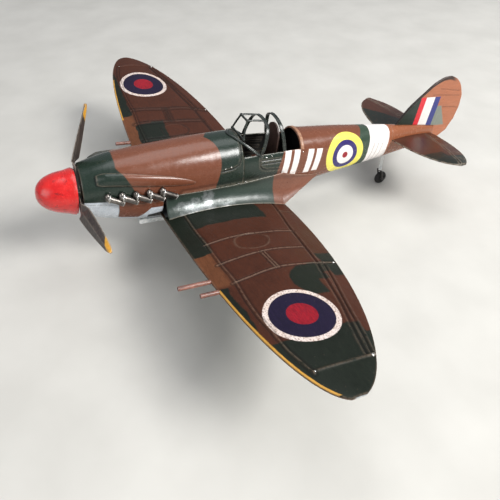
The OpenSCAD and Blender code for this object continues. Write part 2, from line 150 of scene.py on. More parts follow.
# ---- wing shape
HALF_SPAN = 194.3
TIP_Y = 101.8
WING_Z = -19.5
DIHEDRAL = 0.1717
INCIDENCE = 0.026
CROWN = 4.7


def span_u(x):
    """Share of the half span, stopped just short of the tip."""
    return np.minimum(np.abs(x) / HALF_SPAN, 0.9975)


def lead_y(x):
    return TIP_Y - 28 * (1 - span_u(x) ** 3.3) ** 0.4545


def trail_y(x):
    return TIP_Y + 61 * (1 - span_u(x) ** 2) ** 0.6


def wing_mid_z(x, y):
    return WING_Z + DIHEDRAL * np.abs(x) - INCIDENCE * (y - 106)


def wing_point(x, t, upper=True):
    y = mix(lead_y(x), trail_y(x), t)
    bow = 4 * t * (1 - t) * (trail_y(x) - lead_y(x)) / 78
    rise = CROWN * bow if upper else -SHEET - GAP - 1.6 * bow
    return xyz(x, y, wing_mid_z(x, y) + rise)


# ---- mesh tools
def dense(lo, hi, count, centres=(), width=2.0, gain=4.0):
    """Positions from lo to hi, closer together near each centre."""
    v = np.linspace(lo, hi, 4000)
    density = np.ones_like(v)
    for c in centres:
        density += gain * np.exp(-(((v - c) / width) ** 2))
    total = np.concatenate([[0], np.cumsum((density[1:] + density[:-1]) / 2)])
    return np.interp(np.linspace(0, total[-1], count), total, v)


def make_object(name, verts, faces, attributes=None):
    mesh = bpy.data.meshes.new(name)
    mesh.from_pydata([tuple(v) for v in verts], [], [tuple(f) for f in faces])
    for key, values in (attributes or {}).items():
        layer = mesh.attributes.new(key, "FLOAT", "POINT")
        layer.data.foreach_set("value", np.asarray(values, np.float32).ravel())
    mesh.shade_smooth()
    mesh.validate()
    obj = bpy.data.objects.new(name, mesh)
    SCENE.collection.objects.link(obj)
    return obj


def quads(rows, cols, start=0, flip=False, wrap=False):
    r, c = grid(np.arange(rows - 1), np.arange(cols if wrap else cols - 1))
    a = start + r * cols + c
    b = start + r * cols + (c + 1) % cols
    q = np.stack([a, b, b + cols, a + cols], -1).reshape(-1, 4)
    return q[:, ::-1] if flip else q


def capped(rows, cols):
    """Faces of rings joined in a row, with a face over each end."""
    faces = [tuple(f) for f in quads(rows, cols, wrap=True)]
    faces.append(tuple(range(cols))[::-1])
    faces.append(tuple(range((rows - 1) * cols, rows * cols)))
    return faces


def rim_order(rows, cols):
    """Indices round the edge of a grid, once."""
    i = np.arange(rows * cols).reshape(rows, cols)
    return np.concatenate([i[0, :-1], i[:-1, -1], i[-1, :0:-1], i[:0:-1, 0]])


def sheet(name, outer, inner, attributes):
    """A closed sheet between two grids, with a rounded edge."""
    outer, inner = np.asarray(outer), np.asarray(inner)
    rows, cols = outer.shape[:2]
    n = rows * cols
    rim = rim_order(rows, cols)
    po, pi = outer.reshape(-1, 3), inner.reshape(-1, 3)
    centre_row = np.clip(np.arange(rows), 1, rows - 2)
    centre_col = np.clip(np.arange(cols), 1, cols - 2)
    inward = outer[np.ix_(centre_row, centre_col)].reshape(-1, 3)[rim] - po[rim]
    length = np.linalg.norm(inward, axis=1, keepdims=True)
    thick = np.linalg.norm(po[rim] - pi[rim], axis=1, keepdims=True)
    middle = (po[rim] + pi[rim]) / 2 - inward / np.maximum(length, 1e-6) * np.minimum(
        thick * 0.3, 0.2)
    verts = np.concatenate([po, pi, middle])
    k = len(rim)
    a, b = rim, np.roll(rim, -1)
    m, m2 = 2 * n + np.arange(k), 2 * n + np.roll(np.arange(k), -1)
    edge = np.concatenate([np.stack([b, a, m, m2], 1), np.stack([m2, m, a + n, b + n], 1)])
    faces = np.concatenate([quads(rows, cols), quads(rows, cols, n, flip=True), edge])
    full = {}
    for key, values in attributes.items():
        v = np.asarray(values, float).reshape(-1)
        full[key] = np.concatenate([v, v, v[rim]])
    # Faces of a grid drawn clockwise from outside are turned so that normals point out.
    corner = outer[0, 0]
    if np.dot(np.cross(outer[0, 1] - corner, outer[1, 0] - corner), corner - inner[0, 0]) < 0:
        faces = faces[:, ::-1]
    obj = make_object(name, place(verts), faces, full)
    obj["grid_faces"] = (rows - 1) * (cols - 1)
    return obj


def sweep(path, side, up, profile, scale=None):
    """Carries a profile of (across, lift) points along a path, closed at both ends."""
    path, side, up = (np.asarray(v, float) for v in (path, side, up))
    profile = np.asarray(profile, float)
    size = np.ones(len(path)) if scale is None else np.asarray(scale, float)
    rings = (path[:, None]
        + profile[None, :, 0, None] * side[:, None] * size[:, None, None]
        + profile[None, :, 1, None] * up[:, None] * size[:, None, None])
    rows, cols = rings.shape[:2]
    return rings.reshape(-1, 3), capped(rows, cols)


def gather(name, parts, to_frame=place):
    """One object from several (verts, faces) pairs, with its normals turned outward."""
    verts, faces, start = [], [], 0
    for v, f in parts:
        verts.append(np.asarray(v, float))
        faces += [tuple(int(i) + start for i in face) for face in f]
        start += len(v)
    obj = make_object(name, to_frame(np.concatenate(verts)), faces)
    bm = bmesh.new()
    bm.from_mesh(obj.data)
    bmesh.ops.recalc_face_normals(bm, faces=bm.faces)
    bm.to_mesh(obj.data)
    bm.free()
    obj.data.set_sharp_from_angle(angle=SHARP_ANGLE)
    return obj


def round_profile(radius, count, squash=1.0):
    a = circle(count)
    return np.stack([radius * np.cos(a), radius * squash * np.sin(a)], 1)


def path_frames(path):
    """A side and an up direction along a smooth path, turned as little as possible."""
    path = np.asarray(path, float)
    run = unit(np.gradient(path, axis=0))
    start = [0, 0, 1.0] if abs(run[0][2]) < 0.8 else [0, 1.0, 0]
    side = np.empty_like(path)
    last = np.cross(run[0], start)
    for i, r in enumerate(run):
        last = unit(last - r * np.dot(last, r))
        side[i] = last
    return side, np.cross(side, run)


def curve_through(points, count):
    """A smooth path through a few points (Catmull-Rom)."""
    p = np.asarray(points, float)
    p = np.concatenate([[2 * p[0] - p[1]], p, [2 * p[-1] - p[-2]]])
    out = []
    for i in range(1, len(p) - 2):
        for t in np.linspace(0, 1, count, endpoint=False):
            out.append(0.5 * ((2 * p[i]) + (p[i + 1] - p[i - 1]) * t
                + (2 * p[i - 1] - 5 * p[i] + 4 * p[i + 1] - p[i + 2]) * t * t
                + (3 * p[i] - p[i - 1] - 3 * p[i + 1] + p[i + 2]) * t ** 3))
    out.append(p[-2])
    return np.array(out)


def wire(path, radius, squash=1.0):
    side, up = path_frames(path)
    return sweep(path, side, up, round_profile(radius, 12, squash))


def lathe(outline, count):
    """A ring solid about the y axis from (radius, y) points, closed end to end."""
    outline = np.asarray(outline, float)
    a = circle(count)
    r, y = outline[:, 0][:, None], outline[:, 1][:, None]
    verts = xyz(r * np.sin(a), np.broadcast_to(y, (len(outline), count)), r * np.cos(a))
    return verts.reshape(-1, 3), [tuple(f) for f in quads(len(outline), count, wrap=True)]


def line_distance(x, y, points):
    """Distance in the plan from each point to a line through a few points."""
    best = np.full(np.shape(x), 1e9)
    for (x0, y0), (x1, y1) in zip(points[:-1], points[1:]):
        dx, dy = x1 - x0, y1 - y0
        t = np.clip(((x - x0) * dx + (y - y0) * dy) / (dx * dx + dy * dy), 0, 1)
        best = np.minimum(best, np.hypot(x - x0 - t * dx, y - y0 - t * dy))
    return best


def bead(distance, width):
    return np.exp(-((distance / width) ** 2))


def beads(lines, width, away=0.0):
    """The strongest bead of several lines, each drawn away from its line."""
    return np.max([bead(d - away, width) for d in lines], axis=0)


def inset(t, length=1.0):
    """Distance from the nearer end of a span that t runs along from 0 to 1."""
    return np.minimum(t, 1 - t) * length


def blob(x, y, cx, cy, rx, ry):
    """Signed distance, positive inside an oval."""
    return (1 - np.hypot((x - cx) / rx, (y - cy) / ry)) * min(rx, ry)


# ---- bookkeeping
def join(obj, slot, *nodes, body="airframe"):
    """Says which body a piece rides on and the nodes it stands for; slot is not used."""
    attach(obj, body)
    if nodes:
        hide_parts(*nodes)
    return obj


def mirrored(points, side):
    p = np.array(points, float)
    p[..., 0] *= side
    return p


def mirrored_parts(parts, side):
    return [(mirrored(v, side), f) for v, f in parts]


def sheet_piece(node, outer, inner, keys, side=1.0, slot="camouflage"):
    """The sheet that stands for one node, drawn to port and mirrored where side is -1."""
    obj = sheet(node + "_skin", mirrored(outer, side), mirrored(inner, side), keys)
    return join(obj, slot, node)


def on_both_sides(build):
    return [build(key, side) for key, side in SIDES.items()]


# ---- fuselage skins
DEGREE_MM = 0.35
COWL_END = 129
LOWER_COWL_END = 74
COCKPIT_END = 174
BODY_END = 262
TAIL_END = 309
SIDE_TOP, SIDE_LOW = 55, 97
BELLY = (97.4, 262.6)


def arc_from_top(y, angle):
    """Distance round the section from its top line, in mm."""
    a = np.linspace(0, 1, 60)[:, None] * np.abs(np.ravel(angle))[None]
    p = skin(np.broadcast_to(np.ravel(y)[None], a.shape), a)
    run = np.linalg.norm(np.diff(p, axis=0), axis=-1).sum(0)
    return run.reshape(np.shape(angle))


PANEL_LINE = [(128, 0), (127.8, 34), (126.9, 57), (125, 66), (121, 70), (113, 71)]
HATCH_LINES = [
    [(143, 57), (141.4, 61), (141.4, 74), (143.5, 79), (147, 81.5), (157, 84.5)],
    [(142, 65.5), (158, 67)],
    [(142, 71), (158, 73)],
]
SEAM_LINE = [(86, 91.2), (106, 90.6), (126, 90.8), (148, 92.3), (160, 93.5)]


def along(y, angle, points):
    return line_distance(y, np.abs(angle) * DEGREE_MM, [(p, q * DEGREE_MM) for p, q in points])


def hull_relief(y, angle):
    """Height of pressed lines and hand-made unevenness, with worn and grimy places, a painted
    highlight along the seam line and painted shade just below it.
    """
    p = skin(y, angle)
    uneven = 0.13 * ripple_at(p, 33.0, 1.3) + 0.045 * ripple_at(p, 11.0, 4.1)
    lines = [along(y, angle, PANEL_LINE)] + [along(y, angle, h) for h in HATCH_LINES]
    cut, lip = beads(lines, 0.4), beads(lines, 0.4, 0.85)
    seam = along(y, angle, SEAM_LINE)
    out = uneven - 0.2 * cut + 0.1 * lip + 0.25 * bead(seam, 0.5)
    # The seam line's pale bead is a painted highlight, and the dark bead 1.2 mm below it is
    # painted shade.
    wear = np.clip(0.16 * lip + 0.25 * bead(seam, 0.5), 0, 1)
    grime_and_shade = np.clip(cut + 0.6 * bead(seam - 1.2, 0.6), 0, 1)
    return out, wear, grime_and_shade


def hull_sheet(node, y0, y1, a0, a1, rows, cols, centres=(), slot="camouflage"):
    """A fuselage skin from station y0 to y1 and angle a0 to a1, finer near the centres."""
    ys = dense(y0, y1, rows, centres, 2.5, 5.0)
    angles = dense(a0, a1, cols, (-92, -72, -60, 60, 72, 92), 6, 1.6)
    angles = angles[(angles >= a0) & (angles <= a1)]
    y, angle = grid(ys, angles)
    out, wear, grime_and_shade = hull_relief(y, angle)
    edge_mm = np.minimum(np.minimum(y - y0, y1 - y),
        np.minimum(angle - a0, a1 - angle) * DEGREE_MM)
    wear = np.clip(wear + 0.2 * bead(edge_mm, 0.4), 0, 1)
    out = out - 0.12 * bead(edge_mm, 0.5)
    keys = {"girth": np.abs(angle), "arc": arc_from_top(y, angle), "wear": wear, "grime_and_shade": grime_and_shade}
    inner = skin(y, angle, np.minimum(out, 0.1) - SHEET)
    return sheet_piece(node, skin(y, angle, out), inner, keys, slot=slot)


SKINS = [
    hull_sheet("cowl_upper", NOSE_Y, COWL_END, -SIDE_LOW, SIDE_LOW, 260, 190, (31, 120, 127)),
    hull_sheet("cowl_lower", NOSE_Y, LOWER_COWL_END, *BELLY, 90, 120, (31,)),
    hull_sheet("cockpit_side_port", COWL_END + GAP, COCKPIT_END, SIDE_TOP, SIDE_LOW,
        130, 90, (142,)),
    hull_sheet("cockpit_side_starboard", COWL_END + GAP, COCKPIT_END, -SIDE_LOW, -SIDE_TOP,
        130, 90, (142,)),
    hull_sheet("belly_plate", 163.5, COCKPIT_END, *BELLY, 20, 100, slot="grey_paint"),
    hull_sheet("rear_fuselage", COCKPIT_END + GAP, BODY_END, -179, 179, 200, 220),
    hull_sheet("tail_cone", BODY_END + GAP, TAIL_END, -178, 178, 110, 150),
]


def rocker_cover(key, side):
    v, u = grid(np.linspace(0, 1, 150), np.linspace(0, 1, 60))
    y = mix(34.0, 95.0, v)
    high, low = mix(36.0, 74.0, v), mix(64.0, 84.0, v)
    taper = np.sqrt(np.clip(1 - (np.clip(v - 0.72, 0, 1) / 0.28) ** 2, 0.004, 1))
    taper = taper * np.sqrt(np.clip(1 - (np.clip(0.09 - v, 0, 1) / 0.09) ** 2 * 0.5, 0, 1))
    angle = side * mix((high + low) / 2, mix(high, low, u), taper)
    rise = 2.5 * np.sin(math.pi * u ** 0.85) ** 0.6 * (1 - v) ** 0.5 * np.minimum(1, 8 * v + 0.25)
    rise = rise + 0.07 * ripple_at(skin(y, angle), 14, 2.2) * np.minimum(rise, 1)
    edge_mm = np.minimum(inset(v, 61), inset(u, 9.5))
    # Round the cover's edge: a dark bead of painted shadow, and a pale bead of painted highlight
    # just inside it.
    keys = {"girth": np.abs(angle), "arc": arc_from_top(y, angle),
        "wear": 0.3 * bead(edge_mm - 0.7, 0.35), "grime_and_shade": 0.8 * bead(edge_mm, 0.55)}
    return sheet_piece("rocker_cover_" + key, skin(y, angle, GAP + 0.5 + rise),
        skin(y, angle, GAP), keys)


COVERS = on_both_sides(rocker_cover)

# ---- wing skins
RIBS = [
    [(66.5, 84), (65, 100), (64.5, 110), (66, 125), (67.5, 144)],
    [(88.5, 83), (86.5, 100), (86, 110), (86, 120), (87, 140)],
    [(107, 84), (106, 95), (104.5, 105), (103.5, 115), (104.5, 130), (105.5, 149)],
]
CROSS_BARS = [[(87, 110.6), (104, 111.4)], [(87, 112.6), (104, 113.2)]]
EDGE_FOLD = [(24, 85.5), (69, 85.4), (108, 85.8), (137, 84.6), (161, 86.8), (177, 90)]
FLAP_CUT = [(25.6, 151.1), (59, 145), (86.5, 140.2), (105, 138), (143, 127.7), (175, 118.8)]
AILERON_CUT = [(106, 141.8), (141, 131.6), (175, 121.6)]
TIP_SEAM = [(176, 90), (177, 106), (176.5, 126)]
OVAL = (73.5, 111.5, 8.4, 11)
HINGE_TABS = [[(38, 149.5), (39.5, 161)], [(104.8, 137), (105.6, 151)]]


def wing_relief(x, y, bold):
    """Pressed ribs, the flap cut, the folded leading edge and general unevenness."""
    x = np.abs(x)
    sway = 0.5 * np.sin(y / 7.0 + x / 9.0)
    ribs = [line_distance(x + sway * 0.5, y, r) for r in RIBS]
    thin = ribs + [line_distance(x, y, b) for b in CROSS_BARS + HINGE_TABS]
    cx, cy, rx, ry = OVAL
    oval_edge = bead(blob(x, y + 0.35 * np.sin(x / 1.7), cx, cy, rx, ry), 0.45)
    fold = line_distance(x, y + 0.25 * np.sin(x / 6), EDGE_FOLD)
    flap = line_distance(x, y + 0.3 * np.sin(x / 8), FLAP_CUT)
    tip = line_distance(x, y, TIP_SEAM)
    # The dark bead beside each pressed line is painted shade, widened by bold on the starboard
    # wing, which is seen against the light.
    ridge, valley = beads(thin, 0.48), beads(thin, 0.5 * bold, 0.95 * bold)
    fold_ridge, fold_cut = bead(fold, 0.45), bead(fold - 1.1, 0.5)
    aileron = line_distance(x, y + 0.3 * np.sin(x / 7), AILERON_CUT)
    flap_cut = np.maximum(bead(flap, 0.75 * bold), bead(aileron, 0.65 * bold))
    flap_lip = np.maximum(bead(flap - 1.5 * bold, 0.5), bead(aileron - 1.3 * bold, 0.5))
    flap_lip = flap_lip * (1 - flap_cut)
    out = 0.36 * ridge - 0.2 * valley + 0.30 * fold_ridge - 0.18 * fold_cut + 0.34 * oval_edge
    out += -0.55 * flap_cut + 0.2 * flap_lip + 0.5 * bead(tip, 0.7)
    z = wing_mid_z(x, y)
    out += 0.16 * ripple(x, y, z, 37, 0.7) + 0.05 * ripple(x, y, z, 12, 2.9)
    # Pale ridges: partly worn paint, partly painted highlight, cut by bold squared on the
    # starboard wing, which is seen against the light.
    wear = np.clip(0.5 * ridge + 0.35 * fold_ridge + 0.2 * flap_lip + 0.25 * bead(tip, 0.6)
        + 0.3 * oval_edge, 0, 1) / bold ** 2
    # On the starboard wing the ridges and the oval's edge get painted shade too, and the flap
    # cut's dark band is widened by bold.
    shade = 0.8 * (bold - 1) * np.maximum(ridge, oval_edge)
    grime_and_shade = np.clip(0.8 * valley + 0.8 * fold_cut + flap_cut + 0.3 * oval_edge + shade, 0, 1)
    return out * bold ** 0.5, wear, grime_and_shade


def spanwise(root, tip, rows, centres):
    """Stations along the span, drawn together near the tip and at the pressed lines."""
    v = dense(root, tip - 6, rows, centres, 2.6, 2.2)
    end = tip - 6 * (1 - np.sin(np.linspace(0, math.pi / 2, 26)))[1:]
    return np.concatenate([v, end])


def wing_skin(key, side, upper):
    root, tip = (21.5 if upper else 0.05), HALF_SPAN - 0.75
    if upper:
        xs = spanwise(root, tip, 270, (66, 86, 105, 176.5))
        ts = dense(0, 1, 170, (0.0, 0.1, 0.44, 0.83, 1.0), 0.05, 2.0)
    else:
        xs = spanwise(root, tip, 110, (176.5,))
        ts = dense(0, 1, 70, (0.0, 0.83, 1.0), 0.05, 2.0)
    x, t = grid(xs, ts)
    outer, inner = wing_point(x, t, upper), wing_point(x, t, upper)
    # bold 1.9 for the starboard wing, seen against the light: wider painted shade and less
    # painted highlight at its pressed lines.
    out, wear, grime_and_shade = wing_relief(outer[..., 0], outer[..., 1], 1.0 if side > 0 else 1.9)
    keep = smoothstep(0, 0.02, t) * smoothstep(1, 0.98, t) * smoothstep(tip, tip - 3, x)
    out = out * keep * (1 if upper else 0.5)
    edge = np.minimum(inset(t, trail_y(x) - lead_y(x)), tip - x)
    # Starboard painted highlights are cut further, to 0.35.
    wear = np.clip(wear * (1 if side > 0 else 0.35) * upper + 0.3 * bead(edge, 0.5), 0, 1)
    outer[..., 2] += out if upper else -SHEET - np.maximum(out, 0) * 0.5
    inner[..., 2] += (np.minimum(out, 0.1) - SHEET) if upper else 0
    keys = {"wear": wear, "grime_and_shade": grime_and_shade * (1 if upper else 0.4)}
    if upper:
        return sheet_piece("wing_upper_" + key, outer, inner, keys, side)
    return sheet_piece("wing_lower_" + key, outer, inner, keys, side, "grey_paint")


WINGS = [wing_skin(key, side, upper) for key, side in SIDES.items() for upper in (True, False)]
FAIRING_X = 26.5
FAIRING_AFT = (193.0, 129.0)


def fairing(key, side):
    """The root fillet: it lies on the wing until v is 1, then tapers up and aft."""
    v, u = grid(np.linspace(0, 2, 220), np.linspace(0, 1, 40))
    t = mix(0.02, 0.985, np.minimum(v, 1))
    aft = np.maximum(v - 1, 0)
    b = wing_point(np.full_like(t, FAIRING_X), t) + [0, 0, 0.12]
    b = mix(b, skin(*FAIRING_AFT, GAP + 0.1), aft[..., None])
    a = skin(b[..., 1], 92.0 + 26 * aft, GAP)
    c = xyz(a[..., 0] + 0.4, b[..., 1], mix(b[..., 2], a[..., 2], 0.25))
    u3 = u[..., None]
    base = (1 - u3) ** 2 * a + 2 * u3 * (1 - u3) * c + u3 * u3 * b
    dent = 0.22 * ripple_at(base, 17, 5.0) + 0.08 * ripple_at(base, 6, 1.0)
    dent *= np.sin(math.pi * u)
    lift = (np.maximum(dent, -0.3) + 1.0)[..., None]
    outer = base + lift * mix(np.array([0.4, 0, 0.5]), np.array([0.5, 0, -0.3]), aft[..., None])
    edge_mm = inset(u, 12)
    keys = {"wear": 0.35 * bead(edge_mm, 0.45), "grime_and_shade": 0.4 * bead(edge_mm - 1, 0.7)}
    return sheet_piece("wing_fairing_" + key, outer, base, keys, side)


FAIRINGS = on_both_sides(fairing)

# ---- tail surfaces
TAIL_SPAN = 59.5
TAIL_MID_Y = 287.0
ELEVATOR_LINE = [(6, 298.6), (25.5, 294.8), (39.6, 290.9), (52.6, 286), (58, 284)]
TAIL_RIBS = [[(16, 297), (17, 306)], [(28, 294.5), (30, 303)], [(41, 290.5), (43.5, 298)],
    [(50, 287), (52.5, 293)]]


def tail_lead(x):
    return TAIL_MID_Y - 25 * (1 - np.minimum(x / TAIL_SPAN, 0.985) ** 2.6) ** 0.5


def tail_trail(x):
    return TAIL_MID_Y + 20.5 * (1 - np.minimum(x / TAIL_SPAN, 0.985) ** 2.4) ** 0.6


def tailplane(key, side):
    u, t = grid(np.sin(np.linspace(0, math.pi / 2, 130)), dense(0, 1, 100, (0.6,), 0.06, 2))
    root_y = mix(tail_lead(6.0), tail_trail(6.0), t)
    x = mix(station(root_y, 1) + 0.25, TAIL_SPAN - 0.4, u)
    y = mix(tail_lead(x), tail_trail(x), t)
    z = 14.5 + 0.08 * x
    bow = 4 * t * (1 - t)
    lines = [line_distance(x, y, k) for k in [ELEVATOR_LINE] + TAIL_RIBS]
    cut, lip = beads(lines, 0.45), beads(lines, 0.45, 1.0)
    keep = smoothstep(0, 0.04, t) * smoothstep(1, 0.96, t)
    rough = 0.09 * ripple(x, y, z, 19, 3.3) * keep
    over = z + 0.4 + 1.1 * bow + (rough - 0.24 * cut + 0.12 * lip) * keep
    under = z - 0.4 - 0.5 * bow + (rough * 0.4 + 0.1 * cut) * keep
    edge = np.minimum(inset(t, tail_trail(x) - tail_lead(x)), TAIL_SPAN - x)
    # The pale bead beside the elevator and rib lines is a painted highlight.
    keys = {"wear": np.clip(0.35 * lip + 0.6 * bead(edge, 0.5), 0, 1), "grime_and_shade": cut}
    return sheet_piece("tailplane_" + key, xyz(x, y, over), xyz(x, y, under), keys, side)


TAILS = on_both_sides(tailplane)

FIN_FRONT, FIN_OVERHANG, FIN_REAR = 268, 309.4, 329.75
FIN_TOP = np.array([(FIN_FRONT, 24.6), (276, 38), (286, 48), (294, 56), (302, 60.5), (309, 61.5),
    (317, 59), (323, 54), (328, 46), (FIN_REAR, 37)])
FIN_FOOT = np.array([(FIN_OVERHANG, 9), (319, 10), (325, 15), (329, 25), (FIN_REAR, 35.4)])
RUDDER_LINES = [[(302.5, 51.5), (323, 49.3)], [(297, 46.8), (325, 45.3)],
    [(311, 36.3), (328, 35.2)]]


def height_in(table, y):
    return np.interp(y, table[:, 0], table[:, 1])


def fin():
    ys = np.concatenate([dense(FIN_FRONT, FIN_OVERHANG - 0.1, 110, (303,), 2, 2),
        dense(FIN_OVERHANG, FIN_REAR, 90, (FIN_REAR,), 3, 4)])
    y, v = grid(ys, np.linspace(0, 1, 110))
    foot = np.where(ys < FIN_OVERHANG - 0.05, skin(ys, np.zeros_like(ys))[..., 2] + 0.1,
        height_in(FIN_FOOT, ys))
    top = np.maximum(height_in(FIN_TOP, ys), foot + 0.05)
    softened = sum(height_in(FIN_TOP, ys + shift) for shift in (-1.6, 0, 1.6)) / 3
    middle = np.minimum(softened, top)
    top = np.maximum(np.where((ys > 270) & (ys < 326), middle, top), foot + 0.05)
    z = mix(foot[:, None], top[:, None], v)
    cut = beads([line_distance(y, z, k) for k in RUDDER_LINES], 0.4)
    rim = inset(v, (top - foot)[:, None])
    warp = 0.10 * ripple(y * 0, y, z, 21, 0.4) * smoothstep(0, 6, z - foot[:, None])
    folded = smoothstep(3.0, 2.0, rim) * (v > 0.5) * smoothstep(318, 310, y)
    half = 0.49 * smoothstep(-0.1, 0.7, rim) ** 0.5 - 0.17 * cut * smoothstep(0, 1, rim)
    half = half + 0.3 * folded
    keys = {"wear": 0.5 * bead(rim, 0.4) * (1 - folded), "grime_and_shade": 0.6 * cut, "folded": folded}
    return sheet_piece("fin", xyz(warp + half, y, z), xyz(warp - half, y, z), keys)


FIN = fin()

# ---- propeller group
SPINNER_R = 14.8
SPINNER_BODY_R = 13.75
SPINNER_LEN = 22.0
PROP_R = 52.0
BLADE_PHASE = 17.5


def spinner():
    a = np.linspace(0.5, 90, 60)
    r = SPINNER_BODY_R * np.sin(np.radians(a)) ** 0.86
    y = SPINNER_LEN - (SPINNER_LEN - 0.03) * np.cos(np.radians(a))
    r = r + (SPINNER_R - SPINNER_BODY_R) * smoothstep(15.5, 21.8, y) ** 1.6
    outline = [(0.02, 0.029)] + list(zip(r, y)) + [(SPINNER_R - 0.15, SPINNER_LEN),
        (SPINNER_R - 1.15, SPINNER_LEN)]
    inner = [((SPINNER_R - 1.2) * math.sin(math.radians(b)) ** 0.9,
        SPINNER_LEN - (SPINNER_LEN - 1.2) * math.cos(math.radians(b))) for b in range(88, 0, -4)]
    outline += inner + [(0.02, 1.2)]
    verts, faces = lathe(outline, 120)
    x, y, z = verts.T
    swell = 1 - 0.007 * (1 + ripple(x, y, z, 15, 1.9)) * (y > 0.4)
    verts = np.stack([x * swell, y, z * swell], 1)
    obj = gather("spinner_shell", [(verts, faces)], lambda p: place(tilt(p)))
    worn = bead(np.asarray(outline)[:, 1] - 21.6, 0.8)[:, None].repeat(120, 1)
    layer = obj.data.attributes.new("wear", "FLOAT", "POINT")
    layer.data.foreach_set("value", (worn.ravel() * 0.55).astype(np.float32))
    return join(obj, "red_paint", "spinner", body="propeller")


SPINNER = spinner()


def blade_point(s, side, lift):
    r = mix(5.0, PROP_R, s)
    out = np.maximum(r - 16.0, 0)
    twist = np.radians(32 * np.minimum(out / 3.5, 1) - 4 * s)
    width = 3.4 + 2.4 * np.sin(math.pi * s ** 0.8) - 1.5 * s
    rounding = np.where(s > 0.9, np.sqrt(np.maximum(1 - ((s - 0.9) / 0.1) ** 2, 0.03)), 1)
    w = side * width * rounding
    fold = 0.9 * (1 - np.abs(side)) * np.minimum(out / 6, 1) + lift
    x = w * np.cos(twist) - fold * np.sin(twist)
    y = SPINNER_LEN + 1.7 + 0.285 * out - w * np.sin(twist) - fold * np.cos(twist)
    return xyz(x, y, r)


def blade(number, word):
    s, c = grid(dense(0, 1, 130, (1.0, 0.3), 0.06, 3), dense(-1, 1, 41, (0,), 0.12, 3))
    front, back = blade_point(s, c, 0.0), blade_point(s, c, -0.6)
    a = math.radians(BLADE_PHASE - 120 * number)
    turn = np.array([[math.cos(a), 0, -math.sin(a)], [0, 1, 0], [math.sin(a), 0, math.cos(a)]])
    edge = np.minimum((1 - np.abs(c)) * 4.2, (1 - s) * 47)
    keys = {"wear": np.clip(0.75 * bead(edge, 0.35) + 0.35 * bead(c * 4, 0.4), 0, 1),
        "tip": s, "across": c}
    obj = sheet("blade_%s_leaf" % word, tilt(front @ turn.T), tilt(back @ turn.T), keys)
    return join(obj, "blade_paint", "blade_" + word, body="propeller")


BLADES = [blade(number, word) for number, word in enumerate(("one", "two", "three"))]


# ---- exhausts and barrels
def tube(path, radius, bore=0.68, depth=2.5, flare=1.0):
    """A round tube along a path, open and dark at its far end."""
    path = np.asarray(path, float)
    side, up = path_frames(path)
    run = unit(path[-1] - path[-2])
    size = np.concatenate([np.ones(len(path) - 1), [flare, bore * 1.12, bore, bore]])
    path = np.concatenate([path, [path[-1] - run * back for back in (0, 0.25, depth)]])
    side, up = (np.concatenate([v, v[-1:].repeat(3, 0)]) for v in (side, up))
    return sweep(path, side, up, round_profile(radius, 20), size)


def ball(centre, radius, squash=(1, 1, 1), count=14, seed=0.0):
    """A lumpy ball whose poles are tiny rings."""
    a = np.linspace(0, math.pi, count)
    b = circle(2 * count)
    r = np.stack([np.sin(a)[:, None] * np.cos(b), np.sin(a)[:, None] * np.sin(b),
        np.cos(a)[:, None] * np.ones_like(b)], -1)
    r[[0, -1]] += 1e-4 * xyz(np.cos(b), np.sin(b), 0 * b)
    lump = 1 + 0.08 * ripple_at(r * 5, 9, seed)
    v = np.asarray(centre) + r * radius * lump[..., None] * np.asarray(squash)
    return v.reshape(-1, 3), capped(count, 2 * count)


def ring(centre, axis, radius, thick, count=40, section=10, squash=1.0):
    """A round hoop about an axis, flattened along it by squash."""
    axis = np.asarray(axis, float) / np.linalg.norm(axis)
    other = np.cross(axis, [0, 0, 1.0])
    other = unit(other) if np.linalg.norm(other) > 0.1 else np.array([1.0, 0, 0])
    a, b = circle(count), circle(section)
    out = np.cos(a)[:, None] * other + np.sin(a)[:, None] * np.cross(axis, other)
    v = (np.asarray(centre) + out[:, None] * (radius + thick * np.cos(b)[None, :, None])
        + axis * (thick * squash * np.sin(b))[None, :, None])
    i, j = grid(np.arange(count), np.arange(section))
    here, along_next = i * section, (i + 1) % count * section
    k = (j + 1) % section
    faces = np.stack([here + j, here + k, along_next + k, along_next + j], -1)
    return v.reshape(-1, 3), faces.reshape(-1, 4)


EXHAUST_Y = [40 + 8.3 * i for i in range(5)]
EXHAUST_R = 1.95
BARREL_R = 1.28


def exhausts(key, side):
    tubes, collars = [], []
    for i, y in enumerate(EXHAUST_Y):
        root = skin(y, 83.5, 0.3)
        bend = root + [2.0, 0, 0]
        end = np.array([skin(y + 8.6, 96.0)[0] + 2.2, y + 8.6, root[2] - 4.2])
        lean = unit(end - bend)
        tubes.append(ball(root + [0.8, -0.5, 0.3], 1.0, (2.3, 2.1, 2.6), 16, i))
        points = [root, root + [1.2, 0, 0], bend + lean * 0.9, mix(bend, end, 0.6), end]
        tubes.append(tube(curve_through(points, 8), EXHAUST_R, flare=1.02))
        collars.append(ring(bend + lean * 0.4, lean + [0.1, 0, 0.3], 2.35, 0.5, squash=1.5))
        collars.append(ring(end - lean * 0.3, lean, 1.8, 0.28))
    pipe = gather("exhaust_pipes_" + key, mirrored_parts(tubes, side))
    join(pipe, "bright_steel", "exhaust_stacks_" + key)
    rings = gather("exhaust_collars_" + key, mirrored_parts(collars, side))
    return pipe, join(rings, "bright_steel")


PIPES, COLLARS = zip(*on_both_sides(exhausts))
BARREL_SETS = {"port": [(99.5, 18.0), (109.5, 10.0)], "starboard": [(60.0, 22.0), (69.0, 11.0)]}


